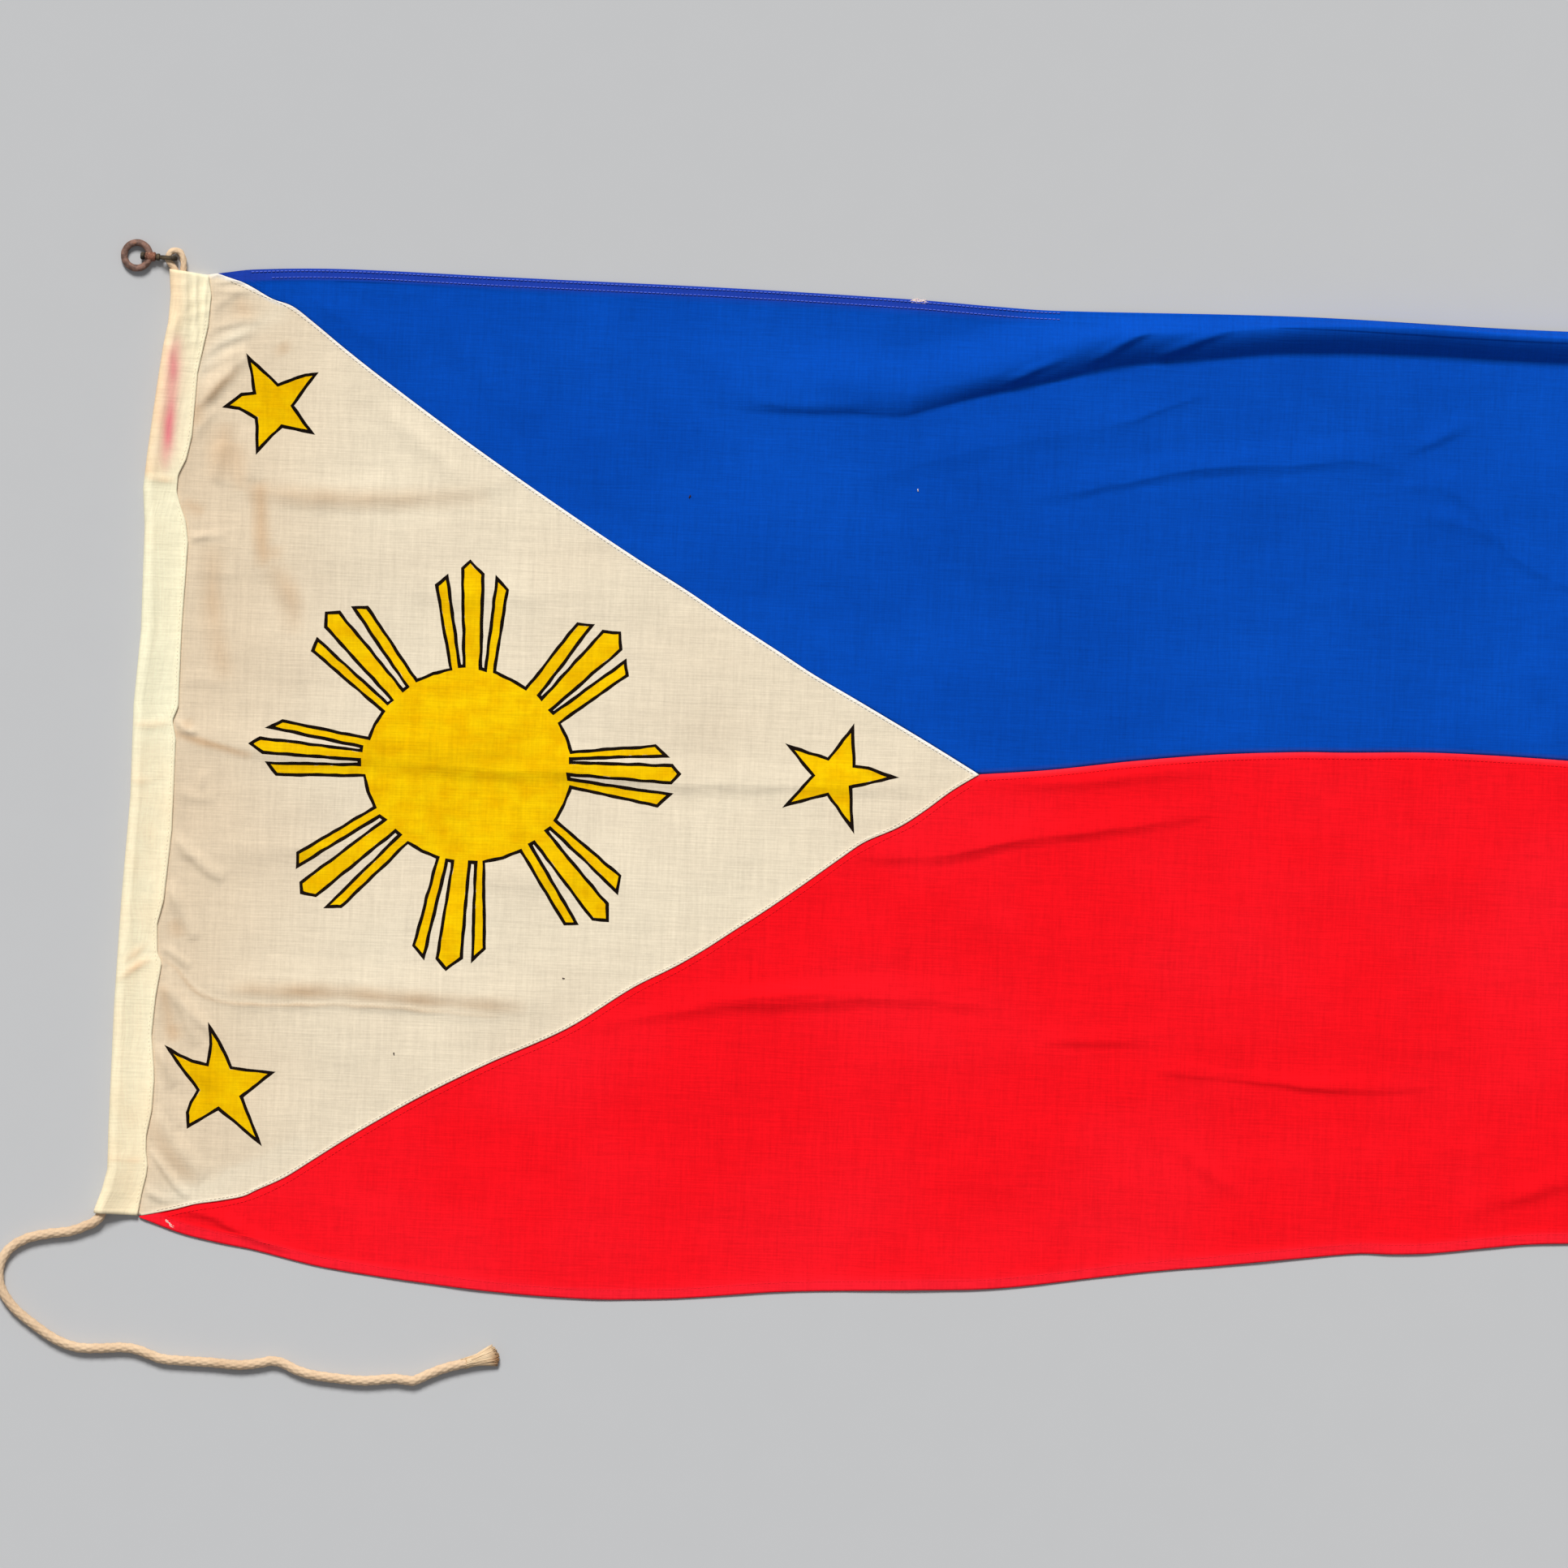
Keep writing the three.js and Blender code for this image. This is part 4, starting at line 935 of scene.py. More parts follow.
# Its stain colour is painted shade where the triangle's creases cross the paint, and the darker tan beside
# the heading.
YELLOW_PRINT = ClothFinish(
    "yellow_print", srgb(251, 204, 4), srgb(240, 183, 0), stain_and_shading=srgb(222, 170, 0), slubs=0.24, bundles=0.12,
    patches=0.2, fade_above=0.46, fade_grain=(62.0, 84.0), nap=0.0, gloss=0.03,
)
INK_LINE = ClothFinish("ink_line", srgb(20, 13, 9), srgb(30, 20, 14), slubs=0.4, nap=0.0, gloss=0.03)
BLUE_COTTON = ClothFinish(
    "blue_cotton", srgb(4, 71, 177), srgb(6, 78, 189), hem=srgb(32, 64, 170),
    stain_and_shading=srgb(60, 56, 132), slubs=0.26, patches=0.15, nap=0.0, gloss=0.04,
)
# Its stain colour is a painted highlight, pale pink, along the mid seam.
RED_COTTON = ClothFinish(
    "red_cotton", srgb(249, 17, 29), srgb(252, 24, 38), hem=srgb(252, 30, 46),
    stain_and_shading=srgb(250, 66, 84), slubs=0.26, nap=0.0, gloss=0.04,
)
# Its hem colour is a tan tint, which on the heading's creases is painted shade.
HEADING_CANVAS = ClothFinish(
    "heading_canvas", srgb(255, 248, 214), srgb(255, 240, 201), hem=srgb(255, 216, 172),
    stain_and_shading=srgb(244, 80, 122), slubs=0.2, bundles=0.06, patches=0.08, pitch=0.0013, fade_above=0.52, gloss=0.4,
)
COTTON_ROPE = CordFinish("cotton_rope", srgb(229, 199, 165), srgb(206, 174, 141))
FRAYED_YARN = CordFinish("frayed_yarn", srgb(232, 206, 170), srgb(216, 184, 146), browned=srgb(158, 112, 70))
LOOSE_THREAD = CordFinish("loose_thread", srgb(246, 226, 214), srgb(240, 200, 196))
DARK_LINT = CordFinish("dark_lint", srgb(60, 40, 38), srgb(40, 30, 30))
RUSTY_IRON = RustFinish("rusty_iron", srgb(104, 78, 68), srgb(150, 114, 100), srgb(176, 112, 76), 0.62)
BOSS_IRON = RustFinish("boss_iron", srgb(98, 60, 47), srgb(140, 90, 70), srgb(200, 150, 120), 0.57)
DARK_IRON = RustFinish("dark_iron", srgb(44, 36, 26), srgb(96, 82, 60), srgb(120, 84, 54), 0.64)


# ---- the printed emblem --------------------------------------------------------------------------

Outline = tuple[Point, ...]


@dataclass(frozen=True)
class Emblem:
    """Sun and stars painted on the triangle, each inside an inked outline.

    Each outline is the middle of its ink line. The sun's goes round its rays three at a time, and
    along the disc from one group to the next.
    """

    ink: float = 0.0024
    waver: float = 0.45  # how much the hand-drawn line's width changes
    wobble: float = 0.00055  # how far it strays
    paint_inset: float = 0.0007  # the paint meets the ink nearly everywhere
    paint_waver: float = 1.6
    step: float = 0.003  # between two points of a line, at most
    waver_pace: float = 0.37  # how fast the width changes from one point to the next
    wobble_cell: float = 0.012  # length over which the line strays one way
    mitre_limit: float = 0.15  # keeps sharp corners from reaching too far
    disc_bulge: float = 0.0011  # how far the disc's edge bows out between two groups of rays
    ray_groups: tuple[Outline, ...] = (
        ((-0.4451, 0.0761), (-0.4575, 0.1366), (-0.45, 0.1428), (-0.4387, 0.0784), (-0.4354, 0.0787),
         (-0.4391, 0.1497), (-0.4336, 0.1548), (-0.4239, 0.1455), (-0.4236, 0.0774), (-0.42, 0.0763),
         (-0.4139, 0.1429), (-0.406, 0.1349), (-0.4135, 0.0749)),
        ((-0.3901, 0.0636), (-0.3543, 0.1123), (-0.3435, 0.1115), (-0.3805, 0.0592), (-0.3783, 0.0567),
         (-0.3356, 0.1073), (-0.3235, 0.1066), (-0.3222, 0.0946), (-0.3717, 0.0489), (-0.3695, 0.0468),
         (-0.3188, 0.0861), (-0.3172, 0.0759), (-0.3651, 0.0397)),
        ((-0.3555, 0.0188), (-0.2945, 0.0256), (-0.2866, 0.0185), (-0.356, 0.0142), (-0.3559, 0.0114),
         (-0.2822, 0.0116), (-0.2767, 0.0059), (-0.2826, -0.001), (-0.3571, 0.0026), (-0.3565, -0.0009),
         (-0.283, -0.0093), (-0.292, -0.0179), (-0.3552, -0.0065)),
        ((-0.3656, -0.0311), (-0.3171, -0.0694), (-0.3188, -0.0813), (-0.3689, -0.0367), (-0.3717, -0.0387),
         (-0.3258, -0.0904), (-0.3252, -0.1021), (-0.336, -0.1016), (-0.3803, -0.0472), (-0.3831, -0.049),
         (-0.3474, -0.1053), (-0.3561, -0.1058), (-0.3896, -0.0537)),
        ((-0.4163, -0.0631), (-0.4136, -0.1258), (-0.4221, -0.1344), (-0.4222, -0.0636), (-0.4267, -0.0635),
         (-0.4302, -0.1329), (-0.4409, -0.1413), (-0.4477, -0.1341), (-0.4387, -0.0632), (-0.443, -0.0629),
         (-0.4575, -0.1336), (-0.4648, -0.1253), (-0.4497, -0.0607)),
        ((-0.4719, -0.0507), (-0.5188, -0.0992), (-0.5292, -0.0996), (-0.4778, -0.0452), (-0.4812, -0.0425),
         (-0.5373, -0.0919), (-0.5477, -0.0896), (-0.5483, -0.0826), (-0.4892, -0.0348), (-0.4931, -0.0323),
         (-0.5514, -0.0711), (-0.5514, -0.0611), (-0.4968, -0.0262)),
        ((-0.5051, -0.0033), (-0.5687, -0.0048), (-0.5757, 0.0035), (-0.5089, 0.0044), (-0.509, 0.0079),
         (-0.5792, 0.011), (-0.5883, 0.0169), (-0.5813, 0.0212), (-0.5078, 0.0149), (-0.5076, 0.0176),
         (-0.5746, 0.0294), (-0.5659, 0.0344), (-0.5025, 0.0237)),
        ((-0.4928, 0.0435), (-0.5457, 0.0861), (-0.5423, 0.0942), (-0.49, 0.0495), (-0.4868, 0.0523),
         (-0.5367, 0.1032), (-0.5366, 0.1135), (-0.5274, 0.1145), (-0.4792, 0.0596), (-0.4761, 0.0621),
         (-0.517, 0.1181), (-0.507, 0.1188), (-0.4694, 0.0667)),
    )
    stars: tuple[Outline, ...] = (
        ((-0.5992, 0.2967), (-0.5776, 0.2777), (-0.5582, 0.2859), (-0.5505, 0.2866), (-0.5668, 0.2631),
         (-0.5523, 0.2441), (-0.574, 0.2481), (-0.5907, 0.2295), (-0.5924, 0.2533), (-0.605, 0.26),
         (-0.6145, 0.2611), (-0.6036, 0.27), (-0.5942, 0.2713)),
        ((-0.152, 0.0439), (-0.15, 0.016), (-0.1399, 0.0147), (-0.1215, 0.0088), (-0.1522, 0.0005),
         (-0.1499, -0.0294), (-0.1685, -0.0048), (-0.1985, -0.0143), (-0.1794, 0.0079), (-0.1973, 0.0285),
         (-0.169, 0.0204)),
        ((-0.6109, -0.1891), (-0.6037, -0.2002), (-0.5942, -0.2185), (-0.5654, -0.2215), (-0.5862, -0.2394),
         (-0.5721, -0.2721), (-0.6026, -0.2482), (-0.6239, -0.2622), (-0.6249, -0.2521), (-0.6223, -0.2444),
         (-0.6173, -0.2354), (-0.6302, -0.2195), (-0.6411, -0.2056), (-0.6317, -0.211), (-0.6227, -0.2148),
         (-0.6116, -0.2169), (-0.6096, -0.2023)),
    )

    def outlines(self) -> list[Array]:
        """The middle of every ink line, all counterclockwise."""
        sun: list[Point] = []
        for group, following in zip(self.ray_groups, self.ray_groups[1:] + self.ray_groups[:1]):
            start, end = Vector(group[-1]), Vector(following[0])
            outwards = Vector((start.y - end.y, end.x - start.x)).normalized()
            bulge = (start + end) / 2 + outwards * self.disc_bulge
            sun += [*group, tuple(bulge)]
        return [np.array(outline[::-1]) for outline in (tuple(sun), *self.stars)]

    def side(self, outline: Array, offset: float, waver: float, seed: int) -> Array:
        """One side of an ink line.

        Args:
            outline: The line's middle, counterclockwise.
            offset: How far outwards the side is, or inwards if negative.
            waver: How much the offset changes along the line.
            seed: Picks how it changes.

        Returns:
            The side's points, a step apart at most, with sharp corners.
        """
        following = np.roll(outline, -1, axis=0)
        dense = np.vstack([
            a + (b - a) * (np.arange(n) / n)[:, None]
            for a, b in zip(outline, following)
            for n in [max(int(math.ceil(float(np.linalg.norm(b - a)) / self.step)), 1)]
        ])
        forward = np.roll(dense, -1, axis=0) - dense
        forward /= np.linalg.norm(forward, axis=1)[:, None]
        out = np.stack([forward[:, 1], -forward[:, 0]], axis=1)
        before = np.roll(out, 1, axis=0)
        mitre = (out + before) / np.maximum(1 + (out * before).sum(axis=1), self.mitre_limit)[:, None]
        place = np.arange(len(dense)) * self.waver_pace
        width = 1 + waver * rolling_noise(place, np.zeros_like(place) + 0.5, seed)
        x, y = dense.T / self.wobble_cell
        stray = np.stack([rolling_noise(x + 40, y + 40, 91), rolling_noise(x + 40, y + 40, 92)], axis=1)
        return dense + stray * self.wobble + mitre * (offset * width)[:, None]


# ---- cloth panels ---------------------------------------------------------------------------------


@dataclass(frozen=True)
class TrianglePanel:
    """The undyed triangle at the hoist, with the emblem painted on it."""

    lie: ClothLie
    emblem: Emblem = Emblem()
    tuck: float = 0.01  # how far it reaches into the heading
    coarse: float = 0.0034  # between its points on open cloth
    fine: float = 0.0021  # between its points beside the heading
    fine_until: float = -0.585
    crease_step: float = 0.0018  # between its points along a long crease
    crease_reach: float = 0.0075
    clear: float = 0.0042  # how far the filling stays from the seams
    roll: float = 0.0007  # its turned edge stands proud along the seams
    roll_width: float = 0.0024
    edge_rows: tuple[float, ...] = (0.0008, 0.0018, 0.0032)
    age: float = 0.38  # how strongly it is tinted darker tan beside the heading
    heading_tan_reach: float = 0.16  # how far the tan tint spreads
    upper_seam_highlight: float = 1.0  # painted highlight: how pale the turned edge is along the upper seam, which faces the light
    # the same painted highlight, weaker along the lower seam
    lower_seam_highlight: float = 0.2
    seam_fold: float = 0.0014  # width of the turned edge
    seam_fade: float = 0.0012

    def boundary(self, inset: float) -> Array:
        """The panel's two slanting edges, from its foot round the apex to its head."""
        lower_x = np.linspace(-0.6555, APEX[0], 230)
        upper_x = np.linspace(APEX[0], -0.6245, 226)[1:]
        # how far each corner moves for an inset of one, square to the slanting edges
        lower_rise, upper_drop, pull_back = 1.16, 1.18, 1.9
        lower = np.stack([lower_x, LOWER_SEAM.at(lower_x) + inset * lower_rise], axis=1)
        upper = np.stack([upper_x, UPPER_SEAM.at(upper_x) - inset * upper_drop], axis=1)
        line = np.vstack([lower, upper])
        return line[line[:, 0] < APEX[0] - inset * pull_back] if inset else line

    def hidden_edge(self) -> Array:
        """The edge inside the heading, from head to foot."""
        y = np.linspace(0.3545, -0.3245, 260)
        return np.stack([HEADING_INNER.at(y) - self.tuck, y], axis=1)

    def filling(self) -> Array:
        """Points that fill the panel, closer together by the heading and along its creases."""
        def lattice(step: float, left: float, right: float) -> Array:
            """A hexagonal lattice between two places along the fly."""
            columns = np.arange(left, right, step * 0.866)  # the height of a triangle of side one
            rows = np.arange(-0.33, 0.36, step)
            x, y = np.meshgrid(columns, rows)
            y = y + (np.arange(len(columns)) % 2) * step / 2
            return np.stack([x.ravel(), y.ravel()], axis=1)

        def creased(points: Array) -> Array:
            """Whether each point lies close to a long crease."""
            x, y = points.T
            reach = self.crease_reach
            return sum(
                Ridge(crease.line, 1.0, reach, reach).heights(x, y) for crease in TRIANGLE_CREASES[:4]
            ) > 0.02

        left = self.fine_until + self.fine / 2
        coarse = lattice(self.coarse, left, APEX[0])
        close = lattice(self.crease_step, left, APEX[0])
        points = np.vstack([
            lattice(self.fine, -0.67, self.fine_until), coarse[~creased(coarse)], close[creased(close)],
        ])
        x, y = points.T
        inside = (
            (LOWER_SEAM.square_distance_to(x, y) > self.clear)
            & (UPPER_SEAM.square_distance_to(x, y) < -self.clear)
            & (x > HEADING_INNER.at(y) - self.tuck + 0.001)
            & (x < APEX[0] - self.clear)
        )
        return points[inside]

    @staticmethod
    def from_seams(x: Array, y: Array) -> Array:
        """Distance of points from the nearer slanting seam."""
        return np.minimum(LOWER_SEAM.square_distance_to(x, y), -UPPER_SEAM.square_distance_to(x, y))

    def heights(self, x: Array, y: Array) -> Array:
        """Height of the panel's face, with its edge rolled up along the seams."""
        past_heading = np.clip((x - HEADING_INNER.at(y)) / 0.01, 0, 1)
        roll = self.roll * soft_fall(self.from_seams(x, y) / self.roll_width)
        return self.lie.heights(x, y) + roll * past_heading

    def build(self) -> bpy.types.Object:
        """Builds the panel: one sheet whose faces follow every ink line.

        Returns:
            The finished piece.
        """
        loops = [np.vstack([self.boundary(0), self.hidden_edge()])]
        half = self.emblem.ink / 2
        for seed, outline in enumerate(self.emblem.outlines()):
            loops.append(self.emblem.side(outline, half, self.emblem.waver, seed + 20))
            loops.append(self.emblem.side(outline, -half, self.emblem.waver, seed + 40))
            inset, waver = -self.emblem.paint_inset, self.emblem.paint_waver
            loops.append(self.emblem.side(outline, inset, waver, seed + 60))
        points = list(loops)
        points += [self.boundary(inset) for inset in self.edge_rows]
        points.append(self.filling())
        starts = np.cumsum([0] + [len(loop) for loop in loops])
        faces = [list(range(start, end)) for start, end in zip(starts, starts[1:])]
        flat = [Vector(point) for point in np.vstack(points)]
        verts, _, triangles, _, _, inside = delaunay_2d_cdt(flat, [], faces, 1, 1e-6, True)

        bm = bmesh.new()
        x, y = np.array([vert[:] for vert in verts]).T
        made = [bm.verts.new(co) for co in zip(x, y, self.heights(x, y))]
        layer = bm.loops.layers.uv.new(CLOTH_UV)
        for corners, within in zip(triangles, inside):
            if 0 not in within:
                continue
            face = bm.faces.new([made[corner] for corner in corners])
            face.material_index = self.paint(within)
            for loop in face.loops:
                loop[layer].uv = loop.vert.co[:2]
        bmesh.ops.delete(bm, geom=[vert for vert in bm.verts if not vert.link_faces], context="VERTS")
        bmesh.ops.recalc_face_normals(bm, faces=bm.faces)
        panel = add_object("triangle_cloth", bm)
        if panel.data.polygons[0].normal.z < 0:
            panel.data.flip_normals()
        for finish in (WHITE_COTTON, YELLOW_PRINT, INK_LINE):
            panel.data.materials.append(finish.make())
        self.mark_light_shade_and_tan(panel)
        thicken(panel, self.lie.thickness)
        add_piece(panel, Slot.UNDYED, "triangle_panel")
        return panel

    def mark_light_shade_and_tan(self, panel: bpy.types.Object) -> None:
        """Marks the painted highlight on the turned edges, the darker tan beside the heading and the painted
        shade and light along creases and gathers.
        """
        x, y, _ = point_places(panel).T
        # painted highlight along the seams, stronger on the upper one
        seam_highlight = np.where(y > APEX[1], self.upper_seam_highlight, self.lower_seam_highlight)
        seam = soft_fall((self.from_seams(x, y) - self.seam_fold) / self.seam_fade)
        mark_points(panel, HEM_TAN_AND_SHADING_MARK, seam_highlight * seam)
        age = self.age * soft_fall((x - HEADING_INNER.at(y)) / self.heading_tan_reach)
        # painted shade and painted light along the creases and gathers
        painted_shade_and_light = sum(mark.heights(x, y) for mark in PAINTED_SHADE_AND_LIGHT)
        mark_points(panel, STAIN_AND_SHADING_MARK, np.clip(age + painted_shade_and_light, 0, 1))

    @staticmethod
    def paint(within: Sequence[int]) -> int:
        """Picks a face's finish from the outlines that it lies in.

        Args:
            within: Numbers of the outlines round the face: 0 is the panel's own, and then each
                shape has three, the ink's outer side, its inner side and the paint's edge.

        Returns:
            0 for bare cloth, 1 for yellow paint and 2 for ink.
        """
        sides = {(number - 1) % 3 for number in within if number > 0}
        if 1 in sides:
            return 1 if 2 in sides else 0
        return 2 if 0 in sides else 0


@dataclass(frozen=True)
class Band:
    """One of the flag's two coloured bands, sewn to the seams on one side and hemmed on the other."""

    lie: ClothLie
    name: str
    node: str  # the solid that it stands for
    slot: Slot
    finish: ClothFinish
    side: int  # 1 above the seams, -1 below them
    start: float  # where it starts along the fly
    outer: EdgeLine  # its hemmed edge
    columns: int
    rows: tuple[int, ...]  # rows of cells between its knot lines
    flat: Point  # the cut cloth's width and length
    area: float  # the cut cloth's area
    low_guide: EdgeLine  # two lines along its creases, where rows close up
    high_guide: EdgeLine
    hem: float = 0.0085
    hem_rise: float = 0.0005
    hem_slope: float = 0.0012
    fly_hem: float = 0.014
    seam_groove: float = 0.0005
    seam_width: float = 0.0035
    seam_light_and_bleed: float = 0.4  # how strongly the mid seam is tinted: a painted highlight on the red band's side, a darker violet on the blue band's side
    seam_light_and_bleed_from: float = 0.0008  # where that tint begins, from the seam
    least_gap: float = 0.02  # between two lines of the grid, as a share of the band's width
    tint_short: float = 0.001  # how far the hem's tint stays inside the turned edge
    tint_fade: float = 0.0015

    def seam(self, x: Array) -> Array:
        """The band's sewn edge."""
        return band_foot(x) if self.side > 0 else band_head(x)

    def from_hem(self, x: Array, y: Array) -> Array:
        """Distance of points from the hemmed edge."""
        return (self.outer.at(x) - y) * self.side

    def turned_edge(self, x: Array, y: Array) -> Array:
        """1 on the turned edges and 0 off them, with a short slope between."""
        by_hem = soft_fall((self.from_hem(x, y) - self.hem) / self.hem_slope)
        by_fly = soft_fall((FLY_END - x - self.fly_hem) / self.hem_slope)
        return np.maximum(by_hem, by_fly)

    def knots(self, x: Array) -> list[Array]:
        """Lines between which rows are shared out, from foot to head."""
        raise NotImplementedError

    def hem_tint(self, x: Array) -> Array | float:
        """How strongly the hem is tinted."""
        return 1.0

    def place(self, across: Array, along: Array) -> tuple[Array, Array]:
        """Lays the grid: its rows close up along the seam, the creases and the hem."""
        x = self.start + across * (FLY_END - self.start)
        y = between(in_order(self.knots(x), self.least_gap), self.rows, along)
        groove = self.seam_groove * soft_fall((y - self.seam(x)) * self.side / self.seam_width)
        rise = self.hem_rise * self.turned_edge(x, y)
        z = np.maximum(self.lie.heights(x, y) + rise - groove, self.lie.thickness)
        return np.stack([x, y, z], axis=1), np.stack([x, y], axis=1)

    def build(self) -> bpy.types.Object:
        band = laid_grid(self.name, (self.columns, sum(self.rows)), self.place)
        x, y, _ = point_places(band).T
        on_hem = soft_fall((self.from_hem(x, y) - self.hem + self.tint_short) / self.tint_fade)
        mark_points(band, HEM_TAN_AND_SHADING_MARK, self.hem_tint(x) * on_hem)
        # painted highlight along the mid seam on the red band, darker violet on the blue band
        from_seam = np.abs(y - MID_SEAM.at(x)) - self.seam_light_and_bleed_from
        mark_points(band, STAIN_AND_SHADING_MARK, self.seam_light_and_bleed * (x > APEX[0]) * soft_fall(from_seam / self.seam_width))
        band.data.materials.append(self.finish.make())
        thicken(band, self.lie.thickness)
        add_piece(band, self.slot, self.node)
        return band


@dataclass(frozen=True)
class BlueBand(Band):
    """The upper band, with the steep fold under its top hem."""

    name: str = "blue_cloth"
    node: str = "blue_panel"
    slot: Slot = Slot.BLUE
    finish: ClothFinish = BLUE_COTTON
    side: int = 1
    start: float = -0.6235
    outer: EdgeLine = TOP_HEM
    columns: int = 326
    rows: tuple[int, ...] = (3, 44, 12, 12, 13, 14, 12, 16, 6)
    flat: Point = (0.36, 1.33)
    area: float = 0.35
    low_guide: EdgeLine = EdgeLine((
        (-0.624, 0.24), (-0.3, 0.205), (-0.12, 0.205), (-0.026, 0.214), (0.057, 0.232),
        (0.155, 0.2443), (0.24, 0.24), (0.29, 0.215), (0.337, 0.176), (0.42, 0.158), (FLY_END, 0.15),
    ))
    high_guide: EdgeLine = EdgeLine((
        (-0.624, 0.26), (-0.25, 0.222), (-0.14, 0.226), (-0.071, 0.248), (0.024, 0.268),
        (0.097, 0.291), (0.2, 0.27), (0.268, 0.266), (0.44, 0.252), (0.59, 0.256), (FLY_END, 0.256),
    ))
    tinted_until: float = -0.1  # its hem is sun-bleached to violet up to here

    def knots(self, x: Array) -> list[Array]:
        """The seam, two creases, the fold and the hem."""
        foot, head = self.seam(x), self.outer.at(x)
        low, high, fold = self.low_guide.at(x), self.high_guide.at(x), self.lie.fold.foot.at(x)
        return [
            foot, foot + 0.004, low - 0.009, low + 0.005, high - 0.01, high + 0.005, fold,
            fold + self.lie.fold.steep.at(x), head - self.hem, head,
        ]

    def hem_tint(self, x: Array) -> Array:
        """How strongly the hem is tinted: less and less along the fly."""
        return soft_fall((x - self.tinted_until) / 0.1)


@dataclass(frozen=True)
class RedBand(Band):
    """The lower band."""

    name: str = "red_cloth"
    node: str = "red_panel"
    slot: Slot = Slot.RED
    finish: ClothFinish = RED_COTTON
    side: int = -1
    start: float = -0.657
    outer: EdgeLine = BOTTOM_HEM
    columns: int = 334
    rows: tuple[int, ...] = (6, 34, 17, 30, 12, 12, 3)
    flat: Point = (0.4, 1.36)
    area: float = 0.384
    low_guide: EdgeLine = EdgeLine((
        (-0.657, -0.335), (-0.61, -0.326), (-0.5375, -0.352), (-0.45, -0.27), (-0.33, -0.178),
        (-0.234, -0.161), (-0.133, -0.153), (-0.036, -0.16), (0.04, -0.183), (0.12, -0.2),
        (0.276, -0.204), (0.42, -0.186), (0.56, -0.204), (FLY_END, -0.196),
    ))
    high_guide: EdgeLine = EdgeLine((
        (-0.657, -0.327), (-0.4, -0.212), (-0.2, -0.085), (-0.145, -0.052), (-0.083, -0.047),
        (-0.029, -0.034), (0.033, -0.0245), (0.114, -0.011), (0.25, -0.02), (0.42, -0.06),
        (0.5, -0.074), (0.6, -0.068), (FLY_END, -0.066),
    ))

    def knots(self, x: Array) -> list[Array]:
        """The hem, two creases and the seam."""
        foot, head = self.outer.at(x), self.seam(x)
        low, high = self.low_guide.at(x), self.high_guide.at(x)
        mitre = [low - 0.013, low + 0.01, high - 0.009, high + 0.005]
        return [foot, foot + self.hem, *mitre, head - 0.004, head]


# ---- the heading ----------------------------------------------------------------------------------


